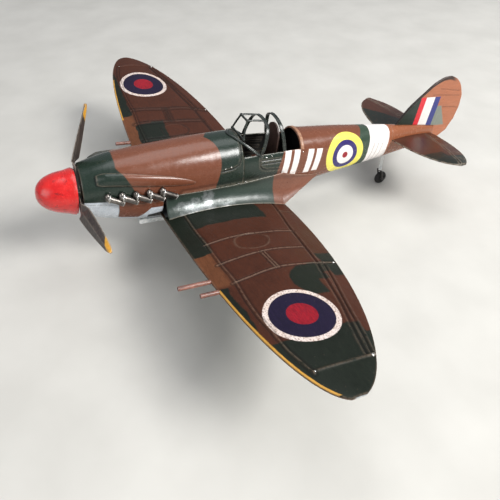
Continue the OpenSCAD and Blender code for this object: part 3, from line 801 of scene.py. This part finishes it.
def barrels(key, side):
    parts = []
    for x, length in BARREL_SETS[key]:
        y = lead_y(x) - 0.15
        z = wing_mid_z(x, y) - 0.4
        bend = 0.04 * np.sin(np.linspace(0, 3, 14))
        path = [(x + bend[i], y - length * i / 13, z + bend[i] * 0.5) for i in range(14)]
        parts.append(tube(path, BARREL_R, bore=0.6, depth=4))
    obj = gather("gun_tubes_" + key, mirrored_parts(parts, side))
    return join(obj, "copper_paint", "gun_barrels_" + key)


BARRELS = on_both_sides(barrels)

# ---- canopy strips and wires
def channel(width, thick, lip=0.16):
    """Section of a folded strip: a band with two rolled edges, as (across, lift) points."""
    half = width / 2
    return [(-half, 0.0), (-half, thick * 0.8), (-half + 0.2, thick), (-half + 0.5, thick),
        (-half + 0.72, thick - lip), (half - 0.72, thick - lip), (half - 0.5, thick),
        (half - 0.2, thick), (half, thick * 0.8), (half, 0.0)]


HOOP_WIDE = 2.6


def hoop(name, foot_y, top_y, rise, squareness, node):
    u = np.linspace(0, 1, 120)
    a = np.pi * u
    foot = skin(foot_y, 55.0)
    s = np.abs(np.sin(a)) ** squareness
    x = (foot[0] - SHEET) * signed_pow(np.cos(a), squareness)
    y = mix(foot_y, top_y, s)
    z = foot[2] + 0.25 + (rise - SHEET) * s
    wave = 0.12 * np.sin(9 * u) + 0.08 * np.sin(23 * u + 1)
    path = xyz(x, y + wave, z)
    run = unit(np.gradient(path, axis=0))
    across = unit(np.array([0, 1.0, 0]) - run * run[:, 1:2])
    up = np.cross(across, run)
    up *= np.sign((up * (path - [0, top_y, foot[2]])).sum(1))[:, None]
    strip = sweep(path, across, up, channel(HOOP_WIDE, SHEET))
    return join(gather(name, [strip]), "frame_paint", node)


def skin_strip(name, y_of_u, past, wide, thick, slot, node):
    """A strip over the fuselage from -past to +past degrees, its station given by y_of_u."""
    u = np.linspace(0, 1, 110)
    angle = mix(-past, past, u)
    y = y_of_u(u) + wide / 2
    base = skin(y, angle, GAP)
    up = unit(skin(y, angle, GAP + 1) - base)
    across = unit(np.cross(up, np.gradient(base, axis=0)))
    across *= np.sign(across[:, 1:2] + 1e-9)
    across = mix(across, np.array([0, 1.0, 0]), 0.5)
    strip = sweep(base, across, up, channel(wide, thick, 0.12))
    return join(gather(name, [strip]), slot, node)


STRIPS = [
    hoop("canopy_strip_front", 142.5, 147.5, 19.5, 0.75, "canopy_hoop_front"),
    hoop("canopy_strip_rear", 160.5, 156.5, 20.4, 0.85, "canopy_hoop_rear"),
    skin_strip("windscreen_base_strip", lambda u: 122 + 19 * np.abs(2 * u - 1) ** 1.5, 58.0,
        2.2, 0.7, "frame_paint", "windscreen_base"),
]
DECK_STRIP = skin_strip("deck_edge_band", lambda u: 174.3 + 0 * u, 57.0, 2.4, 0.6,
    "copper_paint", "deck_edge_strip")

PANE_LOW, PANE_TOP, RAIL_BACK = (9.6, 130.8, 29.2), (5.0, 134.0, 40.2), (5.0, 145.6, 39.4)


def bowed(a, b, bow):
    t = np.linspace(0, 1, 12)[:, None]
    return mix(np.array(a), np.array(b), t) + np.array(bow) * 4 * t * (1 - t)


def flip(p):
    return (-p[0], p[1], p[2])


WIRE_R = 0.75
frame_wires = []
for point in (lambda p: p, flip):
    low, top, back = point(PANE_LOW), point(PANE_TOP), point(RAIL_BACK)
    frame_wires += [wire(bowed(low, top, (0, -0.25, 0)), WIRE_R, 0.8),
        wire(bowed(top, back, (0, 0, 0.25)), WIRE_R, 0.8),
        ball(top, 0.95, seed=1), ball(low, 1.0, seed=2)]
frame_wires.append(wire(bowed(flip(PANE_TOP), PANE_TOP, (0, -0.2, 0.15)), WIRE_R))
frame_wires.append(wire(bowed(flip(PANE_LOW), PANE_LOW, (0, -0.2, 0.1)), WIRE_R))
STRIPS.append(join(gather("windscreen_wires", frame_wires), "frame_paint", "windscreen_frame"))

# ---- solder, rivets and dials
# Station, angle from the top, radius.
HULL_BEADS = [(119.7, 66.7, 0.75), (115.5, 68, 0.55), (125.5, 91, 0.6), (146, 61, 0.6),
    (150.5, 60, 0.5), (131, 91, 0.6), (176, 62, 0.5)]
# Distance out along the wing, station, radius.
WING_BEADS = [(176.6, 121, 1.0), (105.6, 149, 0.7), (176.2, 91, 0.6)]
blobs = []
for number, (y, angle, r) in enumerate(HULL_BEADS):
    for s in SIDES.values():
        blobs.append(ball(mirrored(skin(y, angle, 0.05), s), r, (1, 1.2, 1), 8, number))
for s in SIDES.values():
    for x, y, r in WING_BEADS:
        z = wing_point(x, (y - lead_y(x)) / (trail_y(x) - lead_y(x)))[2]
        blobs.append(ball((s * x, y, z + 0.15), r, (1, 1.2, 0.6), 8, x))
BEADS = join(gather("solder_beads", blobs), "bright_steel")

DIAL_Y = 127.95
# Across, height, radius.
DIAL_SPOTS = [(-5.2, 17, 2.2), (0, 18.5, 2.4), (5.2, 17, 2.2), (-3, 12.4, 1.8), (3, 12.4, 1.8)]
dials = [ring((x, DIAL_Y, z), (0, 1, 0), r, 0.22, 28, 8) for x, z, r in DIAL_SPOTS]
DIALS = join(gather("instrument_dials", dials), "brass")


# ---- shader arithmetic
class Sig:
    """A number in the node tree being built, combined like a plain number."""
    tree = None

    def __init__(self, socket):
        self.socket = socket

    def __add__(self, o): return calc("ADD", self, o)
    def __radd__(self, o): return calc("ADD", o, self)
    def __sub__(self, o): return calc("SUBTRACT", self, o)
    def __rsub__(self, o): return calc("SUBTRACT", o, self)
    def __mul__(self, o): return calc("MULTIPLY", self, o)
    def __rmul__(self, o): return calc("MULTIPLY", o, self)
    def __pow__(self, o): return calc("POWER", self, o)
    def __neg__(self): return calc("MULTIPLY", self, -1.0)
    def __abs__(self): return calc("ABSOLUTE", self)


def plug(value, socket):
    if isinstance(value, Sig):
        Sig.tree.links.new(value.socket, socket)
    else:
        socket.default_value = value


def add(kind, inputs, output=0):
    """One output of a new shader node whose inputs, by name or number, are set."""
    node = Sig.tree.nodes.new("ShaderNode" + kind)
    for key, value in inputs.items():
        plug(value, node.inputs[key])
    return Sig(node.outputs[output])


def calc(operation, *values, clamp=False):
    node = Sig.tree.nodes.new("ShaderNodeMath")
    node.operation = operation
    node.use_clamp = clamp
    for i, v in enumerate(values):
        plug(v if isinstance(v, Sig) else float(v), node.inputs[i])
    return Sig(node.outputs[0])


def lowest(*v):
    return functools.reduce(lambda a, b: calc("MINIMUM", a, b), v)


def highest(*v):
    return functools.reduce(lambda a, b: calc("MAXIMUM", a, b), v)


def inside(value, soft):
    """One where value is positive, nought where negative, blurred over soft."""
    return calc("MULTIPLY_ADD", value, 1.0 / soft, 0.5, clamp=True)


def between(v, lo, hi):
    return lowest(v - lo, hi - v)


def box_mask(u, u0, u1, v, v0, v1):
    return lowest(between(u, u0, u1), between(v, v0, v1))


def far(u, v, cu, cv):
    du, dv = u - cu, v - cv
    return calc("SQRT", du * du + dv * dv)


def oval(u, v, cu, cv, ru, rv):
    return (1.0 - far(u * (1.0 / ru), v * (1.0 / rv), cu / ru, cv / rv)) * min(ru, rv)


def rgb(r, g, b):
    """Linear colour from display values of 0 to 255."""
    shares = (c / 255.0 for c in (r, g, b))
    return (*(c / 12.92 if c <= 0.04045 else ((c + 0.055) / 1.055) ** 2.4 for c in shares), 1.0)


def blend(factor, a, b, mode="MIX"):
    node = Sig.tree.nodes.new("ShaderNodeMix")
    node.data_type = "RGBA"
    node.blend_type = mode
    plug(factor, node.inputs[0])
    plug(a, node.inputs[6])
    plug(b, node.inputs[7])
    return Sig(node.outputs[2])


def over(colour, mask, soft, new, amount=1.0):
    """New paint over colour where mask is positive, with an edge blurred over soft."""
    cover = inside(mask, soft)
    return blend(cover if amount == 1.0 else cover * amount, colour, new)


def noise(vector, scale, detail=2.0, roughness=0.5):
    return add("TexNoise", {"Vector": vector, "Scale": scale, "Detail": detail,
        "Roughness": roughness})


def remap(value, lo, hi, out_lo=0.0, out_hi=1.0):
    return add("MapRange", dict(enumerate((value, lo, hi, out_lo, out_hi))))


def attribute(name):
    node = Sig.tree.nodes.new("ShaderNodeAttribute")
    node.attribute_name = name
    return Sig(node.outputs["Fac"])


def stretched(vector, sx, sy, sz, turn=(0, 0, 0)):
    return add("Mapping", {"Vector": vector, "Scale": (sx, sy, sz), "Rotation": turn})


def bump(height, strength, distance):
    return add("Bump", {"Height": height, "Strength": strength, "Distance": distance})


LEVEL_OFFSET = Matrix.Rotation(STANCE, 3, "X") @ Vector((0, MIDDLE_Y, TAIL_LOW))


class Surface:
    """Coordinates in the level frame in mm, with a hand-painted waver, for one material."""

    def __init__(self, name):
        self.material = bpy.data.materials.new(name)
        self.material.use_nodes = True
        Sig.tree = tree = self.material.node_tree
        tree.nodes.clear()
        out = tree.nodes.new("ShaderNodeOutputMaterial")
        self.shader = tree.nodes.new("ShaderNodeBsdfPrincipled")
        tree.links.new(self.shader.outputs[0], out.inputs[0])
        self.vector = add("Mapping", {"Vector": add("TexCoord", {}, "Object"),
            "Location": LEVEL_OFFSET, "Rotation": (STANCE, 0, 0), "Scale": (1000, 1000, 1000)})
        split = tree.nodes.new("ShaderNodeSeparateXYZ")
        plug(self.vector, split.inputs[0])
        self.x, self.y, self.z = (Sig(socket) for socket in split.outputs)
        self.ax = abs(self.x)
        self.waver = (noise(self.vector, 0.11, 2.0) - 0.5) * 3.0
        self.ragged = (noise(self.vector, 0.9, 3.0, 0.65) - 0.5) * 0.9

    def set(self, **inputs):
        """Sets the shader's sockets, each named with _ for a space."""
        for key, value in inputs.items():
            plug(value, self.shader.inputs[key.replace("_", " ")])
        return self.material

    def finish(self, colour, rough=0.36, worn=rgb(176, 160, 140), wear_gain=1.0, tone=0.22,
            grain=0.5, coat=0.12, shine=0.5, metal_wear=0.35, brush=(0.35, 1.6, 1.6), chips=0.5,
            bare=None):
        """Brush marks, mottling, dirt and painted shade in the creases, and worn paint and
        painted highlights on ridges and edges, in the colour worn.
        """
        v = self.vector
        strokes = noise(stretched(v, *brush), 0.55, 4.0, 0.6)
        fine = noise(v, 2.6, 3.0, 0.6)
        broad = noise(v, 0.045, 3.0, 0.55)
        shade = remap(strokes, 0.25, 0.75, 1.0 - tone, 1.0 + tone)
        shade = shade * remap(broad, 0.25, 0.75, 1.0 - 0.6 * tone, 1.0 + 0.6 * tone)
        shade = shade * remap(fine, 0.2, 0.8, 1.0 - 0.35 * tone, 1.0 + 0.35 * tone)
        grey = add("CombineXYZ", {0: shade, 1: shade, 2: shade})
        colour = blend(1.0, colour, grey, "MULTIPLY")
        # Creases and the shaded side of pressed lines go near black: partly dirt, partly painted
        # shade.
        grime_and_shade = attribute("grime_and_shade") * remap(noise(v, 0.7, 2.0), 0.25, 0.7, 0.5, 1.0)
        colour = blend(calc("MULTIPLY", grime_and_shade, 0.85, clamp=True), colour, rgb(22, 17, 15))
        # Ridges and edges take the pale colour worn: partly worn paint, partly painted highlight.
        broken = inside(noise(v, 0.55, 4.0, 0.7) - 0.44, 0.12)
        wear = calc("MULTIPLY", attribute("wear") * wear_gain, broken, clamp=True)
        specks = inside(noise(v, 1.35, 2.0, 0.5) - 0.74, 0.03) * chips
        wear = highest(wear * 0.8, specks * 0.55)
        metallic = wear * metal_wear if bare is None else highest(wear * metal_wear, bare)
        roughness = remap(strokes, 0.2, 0.8, rough - 0.09, rough + 0.11) + grime_and_shade * 0.2
        return self.set(Base_Color=blend(wear, colour, worn), Metallic=metallic,
            Roughness=roughness + (broad - 0.5) * 0.16, Specular_IOR_Level=shine,
            Coat_Weight=coat, Coat_Roughness=0.22,
            Normal=bump(strokes * 0.8 + fine * 0.35 - wear * 0.25, grain, 0.00022))


BROWN = rgb(114, 67, 47)
BROWN_WING = rgb(68, 35, 22)
GREEN = rgb(30, 44, 36)
GREEN_WING = rgb(22, 28, 21)
NAVY = rgb(28, 20, 46)
RED = rgb(146, 22, 36)
WHITE = rgb(236, 230, 226)
YELLOW = rgb(238, 226, 100)
SIDE_BLUE = rgb(48, 38, 104)
OCHRE = rgb(196, 146, 58)


def behind_lead(s):
    """How far a point of the wing lies behind its leading edge, in mm."""
    u = calc("MINIMUM", s.ax * (1 / HALF_SPAN), 0.9975)
    return s.y - (TIP_Y - 28.0 * ((1.0 - u ** 3.3) ** 0.4545))


def by_side(s, port, starboard, soft):
    """One where the mask of the point's own side is positive."""
    is_port = inside(s.x, 0.5)
    return inside(port, soft) * is_port + inside(starboard, soft) * (1.0 - is_port)


def wing_colour(s):
    """Hand-painted brown and green, the roundels and the yellow leading edge."""
    x, y = s.ax + s.waver * 1.7 + s.ragged, s.y - s.waver * 1.5 + s.ragged
    port = highest(box_mask(x, 46, 155.5, y, 85.8, 175), box_mask(x, 22, 100, y, 136, 175),
        box_mask(x, 108, 155.5, y, 80.6, 120))
    port = lowest(port, -oval(x, y, 119, 125, 13, 11.5), -oval(x, y, 109, 136, 5, 9))
    port = lowest(port, -box_mask(x, 95.5, 118, y, 141.5, 175))
    port = highest(port, box_mask(x, 76, 109, y, 60, 88), box_mask(x, 120, 162, y, 129, 160))
    starboard = lowest(-box_mask(x, 50, 87, y, 82, 105), -box_mask(x, 100, 165, y, 60, 84))
    starboard = lowest(starboard, highest(x - 44, y - 136))
    brown = by_side(s, port, starboard, 0.7)
    colour = blend(brown, GREEN_WING, BROWN_WING)
    warm = inside(lowest(84.0 - y, 108.0 - x), 4.0)
    colour = blend(brown * warm * 0.6, colour, rgb(112, 70, 44))
    is_port = inside(s.x, 0.5)
    strip = lowest(0.85 + s.ragged * 0.5 - behind_lead(s), s.ax - (97.0 + 12.0 * is_port),
        156.0 + 34.5 * is_port - s.ax)
    colour = over(colour, strip, 0.4, OCHRE)
    r = far(s.ax, s.y, 143, 104.5) * (0.95 + 0.05 * is_port)
    v = s.vector
    flecks = inside(noise(v, 1.1, 3.0, 0.6) - 0.56, 0.05)
    smear = noise(stretched(v, 0.5, 2.6, 1, (0, 0, 0.9)), 0.7, 3.0, 0.6)
    white = blend(flecks * 0.75, rgb(222, 208, 202), rgb(120, 92, 80))
    white = blend(remap(noise(v, 0.09), 0.4, 0.65) * 0.4, white, rgb(196, 170, 150))
    colour = over(colour, 19.0 + s.ragged * 0.5 - r, 0.35, white)
    navy = blend(remap(smear, 0.35, 0.7) * 0.45, NAVY, rgb(20, 18, 40))
    colour = over(colour, 16.3 + s.ragged * 0.25 - r, 0.3, navy)
    red = blend(remap(smear, 0.4, 0.6) * 0.6, RED, rgb(106, 16, 34))
    return over(colour, 7.8 + s.ragged * 0.3 - r, 0.3, red)


ROUNDEL_Y = 215.5
ROUNDEL_ARC = float(arc_from_top(np.array([ROUNDEL_Y]), np.array([88.6]))[0])
# Each bar: its front station at the top, and how far down the side it reaches.
SIDE_BARS = ((162.2, 37.5), (169.8, 37.0), (181.6, 35.5), (189.0, 34.5))


def hull_colour(s):
    """Nose, cockpit and rear body paint, laid out by station and angle round the section."""
    y = s.y + s.waver * 0.5 + s.ragged * 0.6
    a, arc = attribute("girth"), attribute("arc")
    front = 46.5 + 9.5 * remap(a, 34.0, 78.0) - 10.0 * inside(a - 89.0, 2.0)
    lobe = (a - 52.0) * (1 / 52.0)
    rear = 113.3 - 7.3 * lobe * lobe
    lower = highest(133.0 - highest(y - 58.0, 0.0) * 3.2, 107.0) - a
    colour = over(GREEN, lowest(y - front, rear - y), 0.6, BROWN)
    colour = over(colour, y - (160.0 - 0.13 * highest(a - 56.0, 0.0)), 0.6, BROWN)
    colour = over(colour, y - 258.4, 0.8, rgb(156, 94, 62), 0.7)
    colour = over(colour, lowest(y - (231.5 - 0.07 * a), 238.2 - y), 0.5, rgb(52, 70, 56))
    underside = highest(lowest(a - 91.5, 45.8 - y), lowest(-lower, 130.0 - y), a - 146.0)
    speck = noise(s.vector, 1.9, 3.0, 0.7)
    pale = blend(remap(speck, 0.35, 0.7), rgb(188, 198, 208), rgb(228, 232, 236))
    colour = over(colour, underside, 0.8, pale)
    # A black wedge painted under the nose, behind the lower cowl, is painted shade standing in
    # for the dark gap between the belly and the air intake.
    slot = lowest(between(y, 64.5, 79.0), (a - 126.0 + (y - 64.5) * 0.75) * 0.4,
        (139.0 - a) * 0.4)
    colour = over(colour, slot, 0.4, rgb(14, 13, 12))
    streak = noise(stretched(s.vector, 1, 0.3, 2.2), 0.5, 3.0, 0.6)
    white = blend(remap(streak, 0.5, 0.75) * 0.4, WHITE, rgb(178, 176, 182))
    colour = over(colour, between(y, 238.2, 258.4), 0.45, white)
    slant = s.y + 0.14 * (arc - 14.0)
    for start in (243.4, 247.6, 252.0):
        scratch = lowest(between(slant, start, start + 0.9), between(arc, 15.0, 31.0))
        colour = over(colour, scratch + s.ragged * 0.5, 0.4, rgb(120, 112, 112), 0.45)
    bars = highest(*[lowest(between(slant, start, start + 5.0), between(arc, 17.4, low))
        for start, low in SIDE_BARS])
    colour = over(colour, bars + s.ragged * 0.4, 0.35, WHITE)
    r = far(s.y, arc, ROUNDEL_Y, ROUNDEL_ARC) + s.ragged * 0.25
    for radius, new in ((17.6, YELLOW), (11.7, SIDE_BLUE), (7.7, WHITE), (2.5, RED)):
        colour = over(colour, radius - r, 0.35, new)
    return colour


def tailplane_colour(s):
    x, y = s.ax + s.waver * 0.5, s.y + s.waver * 0.5 + s.ragged
    port = highest(38.5 - x, lowest(46.0 - x, y - 284.5))
    brown = by_side(s, port, x + y - 313.9, 0.7)
    colour = blend(brown, GREEN_WING, BROWN_WING)
    return blend(remap(noise(s.vector, 0.6), 0.6, 0.8) * 0.2, colour, rgb(152, 92, 58))


def fin_colour(s):
    y, z = s.y + s.ragged * 0.5, s.z + s.waver * 0.4
    streak = noise(stretched(s.vector, 1, 0.25, 2.0), 0.5, 3.0, 0.6)
    colour = blend(remap(streak, 0.35, 0.65) * 0.5, rgb(172, 106, 74), rgb(152, 90, 60))
    colour = over(colour, lowest(45.0 - z, 291.5 - y), 0.7, GREEN)
    patch = lowest(y - 304.5, between(z, 20.5, 37.5), 310.5 + (36.3 - z) * 0.6 - y)
    colour = over(colour, patch, 0.8, rgb(112, 132, 124), 0.85)
    tall = between(s.z, 19.5, 45.2)
    for lo, hi, new in ((285.8, 291.0, rgb(214, 40, 52)), (291.0, 300.0, WHITE),
            (300.0, 305.6, rgb(48, 54, 124))):
        colour = over(colour, lowest(between(s.y, lo, hi), tall) + s.ragged * 0.2, 0.3, new)
    return blend(attribute("folded") * 0.95, colour, rgb(30, 21, 18))


def fairing_colour(s):
    return over(rgb(44, 58, 50), s.y + s.waver * 0.5 + s.ragged - 153.0, 0.8, BROWN)


def under_colour(s):
    speck = noise(s.vector, 1.9, 3.0, 0.7)
    colour = blend(remap(speck, 0.35, 0.7), rgb(158, 166, 170), rgb(198, 202, 202))
    return over(colour, 1.6 + s.ragged - behind_lead(s), 0.6, rgb(96, 70, 52))


def fairing_material():
    """Dark green worn through to bright metal in patches."""
    s = Surface("fairing_paint")
    patches = highest(
        oval(s.y, s.z, 92.0, -8.5, 9.0, 4.0), oval(s.y, s.z, 104.0, -6.0, 4.0, 5.5),
        oval(s.y, s.z, 116.0, -9.0, 4.0, 1.8)) * 0.35
    bare = inside(patches + (noise(s.vector, 0.22, 4.0, 0.65) - 0.5) * 3.6 - 0.35, 1.4) * 0.8
    colour = blend(bare, fairing_colour(s), rgb(168, 172, 172))
    return s.finish(colour, rough=0.33, tone=0.2, coat=0.2, bare=bare)


def spinner_colour(s):
    scuff = noise(stretched(s.vector, 1.0, 0.5, 1.6), 0.32, 5.0, 0.75)
    colour = blend(remap(noise(s.vector, 0.16, 3.0), 0.3, 0.7), rgb(196, 18, 20),
        rgb(214, 34, 30))
    return over(colour, scuff - 0.61, 0.05, rgb(52, 14, 16), 0.6)


def blade_colour(s):
    tip, across = attribute("tip"), attribute("across")
    colour = blend(remap(noise(stretched(s.vector, 2, 2, 0.3), 0.5, 4.0), 0.3, 0.7),
        rgb(46, 40, 40), rgb(76, 66, 60))
    yellow = lowest((tip - 0.88) * 40.0 - across * 4.0, 2.0) + s.ragged * 0.4
    return over(colour, yellow, 0.4, rgb(206, 150, 46))


def copper_colour(s):
    streak = noise(stretched(s.vector, 1, 0.2, 1), 0.8, 4.0, 0.6)
    return blend(remap(streak, 0.35, 0.65), rgb(86, 54, 46), rgb(150, 100, 84))


def strip_colour(s):
    streak = noise(s.vector, 0.5, 4.0, 0.65)
    return blend(remap(streak, 0.4, 0.65), rgb(22, 28, 25), rgb(48, 56, 50))


def deck_colour(s):
    return blend(remap(noise(s.vector, 0.5, 4.0), 0.35, 0.65), rgb(142, 96, 70),
        rgb(178, 134, 104))


def two_tone(dark, light, scale=0.6):
    return lambda s: blend(remap(noise(s.vector, scale, 4.0, 0.6), 0.3, 0.7), dark, light)


def make(name, colour_of, **more):
    s = Surface(name)
    return s.finish(colour_of(s), **more)


def metal(name, dark, light, rough):
    """Bare metal with tarnish and fine scratches."""
    s = Surface(name)
    tarnish = noise(s.vector, 0.35, 4.0, 0.65)
    scratch = noise(s.vector, 2.4, 4.0, 0.7)
    colour = blend(remap(tarnish, 0.3, 0.7), light, dark)
    return s.set(Base_Color=blend(remap(scratch, 0.4, 0.75) * 0.35, colour, dark),
        Metallic=1.0, Roughness=remap(tarnish, 0.25, 0.75, rough - 0.08, rough + 0.18),
        Normal=bump(scratch, 0.4, 0.00008))


MATERIALS = {
    "wing": make("wing_paint", wing_colour, rough=0.44, tone=0.24, coat=0.0, shine=0.2,
        worn=rgb(158, 134, 114), wear_gain=0.8),
    "hull": make("hull_paint", hull_colour, rough=0.24, coat=0.18, tone=0.08, grain=0.22,
        shine=0.42, brush=(0.8, 0.6, 0.8)),
    "tail": make("tail_paint", tailplane_colour, rough=0.34, coat=0.0, shine=0.45),
    "fin": make("fin_paint", fin_colour, rough=0.42, brush=(1, 0.5, 1.2), grain=0.2, tone=0.07),
    "under": make("underside_paint", under_colour, rough=0.45, tone=0.12,
        worn=rgb(120, 116, 110)),
    "fairing": fairing_material(),
    "spinner": make("spinner_paint", spinner_colour, rough=0.22, coat=0.5, tone=0.1,
        worn=rgb(160, 60, 50), chips=0.8, metal_wear=0.0),
    "blade": make("blade_paint_worn", blade_colour, rough=0.34, worn=rgb(150, 140, 128),
        brush=(1, 1, 0.3)),
    "strip": make("strip_paint", strip_colour, rough=0.26, worn=rgb(168, 166, 156),
        wear_gain=1.4),
    "deck": make("deck_strip_paint", deck_colour, rough=0.4),
    "copper": make("barrel_copper", copper_colour, rough=0.3, worn=rgb(220, 170, 150),
        tone=0.3),
    "interior": make("interior_black", two_tone(rgb(7, 7, 7), rgb(15, 14, 13)), rough=0.6,
        coat=0.0, chips=0.2),
    "seat": make("seat_paint", two_tone(rgb(48, 34, 30), rgb(76, 54, 46)), rough=0.5, coat=0.0),
    "grey": make("grey_parts_paint", two_tone(rgb(198, 202, 204), rgb(236, 236, 232)),
        rough=0.42, worn=rgb(110, 104, 98)),
    "fork": make("fork_paint", two_tone(rgb(40, 38, 38), rgb(84, 80, 78)), rough=0.4),
    "rubber": make("tyre_rubber", two_tone(rgb(20, 19, 19), rgb(40, 37, 36)), rough=0.62,
        coat=0.0, worn=rgb(80, 76, 72)),
    "pipe": metal("exhaust_metal", rgb(74, 70, 66), rgb(158, 152, 146), 0.3),
    "bright": metal("bright_steel", rgb(150, 146, 140), rgb(232, 230, 226), 0.2),
    "brass": metal("aged_brass", rgb(120, 92, 50), rgb(206, 172, 104), 0.3),
}
DRESSED = {
    "hull": SKINS + COVERS, "wing": WINGS[::2], "under": WINGS[1::2], "fairing": FAIRINGS,
    "tail": TAILS, "fin": [FIN], "spinner": [SPINNER], "blade": BLADES, "pipe": PIPES,
    "bright": [*COLLARS, BEADS], "copper": BARRELS, "strip": STRIPS, "deck": [DECK_STRIP],
    "brass": [DIALS],
}
for key, pieces in DRESSED.items():
    for piece in pieces:
        piece.data.materials.clear()
        piece.data.materials.append(MATERIALS[key])
# The hull's inner faces, the second grid of each sheet, are dark.
for piece in SKINS:
    piece.data.materials.append(MATERIALS["interior"])
    slots = np.zeros(len(piece.data.polygons), np.int32)
    slots[piece["grid_faces"]:2 * piece["grid_faces"]] = 1
    piece.data.polygons.foreach_set("material_index", slots)

KEPT_NODES = {
    "spinner": ("spinner_backplate",),
    "bright": ("prop_hub", "prop_shaft", "wing_spar", "axle_cap_port", "axle_cap_starboard"),
    "brass": ("shaft_collar", "shaft_bush"),
    "interior": ("nose_bulkhead", "cockpit_floor", "instrument_panel", "rear_bulkhead"),
    "seat": ("seat",),
    "grey": ("air_intake", "gear_leg_port", "gear_leg_starboard", "tail_strut"),
    "fork": ("tail_fork",),
    "rubber": ("wheel_port", "wheel_starboard", "tail_wheel"),
}
for key, nodes in KEPT_NODES.items():
    for node in nodes:
        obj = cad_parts[node]
        for slot in obj.material_slots:
            slot.material = MATERIALS[key]
        if not obj.material_slots:
            obj.data.materials.append(MATERIALS[key])

# ---- floor, light and camera
FLOOR = 3.0
floor = make_object("floor", [(-FLOOR, -FLOOR, 0), (FLOOR, -FLOOR, 0), (FLOOR, FLOOR, 0),
    (-FLOOR, FLOOR, 0)], [(0, 1, 2, 3)])


def floor_material():
    s = Surface("floor_cloth")
    tone = remap(noise(s.vector, 0.02, 3.0), 0.3, 0.7)
    return s.set(Base_Color=blend(tone, rgb(196, 194, 188), rgb(206, 204, 198)),
        Roughness=0.85)


floor.data.materials.append(floor_material())


def area_light(name, where, target, width, height, power, colour):
    data = bpy.data.lights.new(name, "AREA")
    data.shape = "RECTANGLE"
    data.size, data.size_y = width, height
    data.energy = power
    data.color = colour
    light = bpy.data.objects.new(name, data)
    light.location = where
    light.rotation_euler = (Vector(target) - Vector(where)).to_track_quat("-Z", "Y").to_euler()
    SCENE.collection.objects.link(light)


WARM_LIGHT, COOL_LIGHT = (1.0, 0.99, 0.97), (0.98, 0.99, 1.0)
area_light("window", (0.9, 0.66, 0.98), (0, 0, 0), 0.6, 0.45, 25, WARM_LIGHT)
area_light("overhead", (-0.2, 0.3, 1.6), (0, 0, 0), 1.2, 1.2, 10, COOL_LIGHT)
area_light("front_fill", (0.5, -1.5, 0.7), (0, 0, 0.03), 1.0, 1.0, 6, WARM_LIGHT)

world = bpy.data.worlds.new("studio")
SCENE.world = world
world.use_nodes = True
sky = world.node_tree.nodes["Background"].inputs
sky["Color"].default_value = (0.9, 0.93, 1.0, 1)
sky["Strength"].default_value = 0.35

CAMERA_LENS, CAMERA_SENSOR = 34.446, 36.0
CAMERA_AT = (0.267081, -0.14517, 0.236823)
CAMERA_RIGHT = (0.41455, 0.91002, 0.0)
CAMERA_DOWN = (0.61561, -0.28042, -0.73648)
CAMERA_FORWARD = (-0.67021, 0.30532, -0.67646)
SCENE.view_settings.view_transform = "Standard"
camera_data = bpy.data.cameras.new("camera")
camera_data.sensor_width = CAMERA_SENSOR
camera_data.lens = CAMERA_LENS
camera = bpy.data.objects.new("camera", camera_data)
camera_up, camera_back = ([-v for v in axis] for axis in (CAMERA_DOWN, CAMERA_FORWARD))
turn = Matrix((CAMERA_RIGHT, camera_up, camera_back)).transposed()
camera.matrix_world = Matrix.Translation(CAMERA_AT) @ turn.to_4x4()
SCENE.collection.objects.link(camera)
SCENE.camera = camera
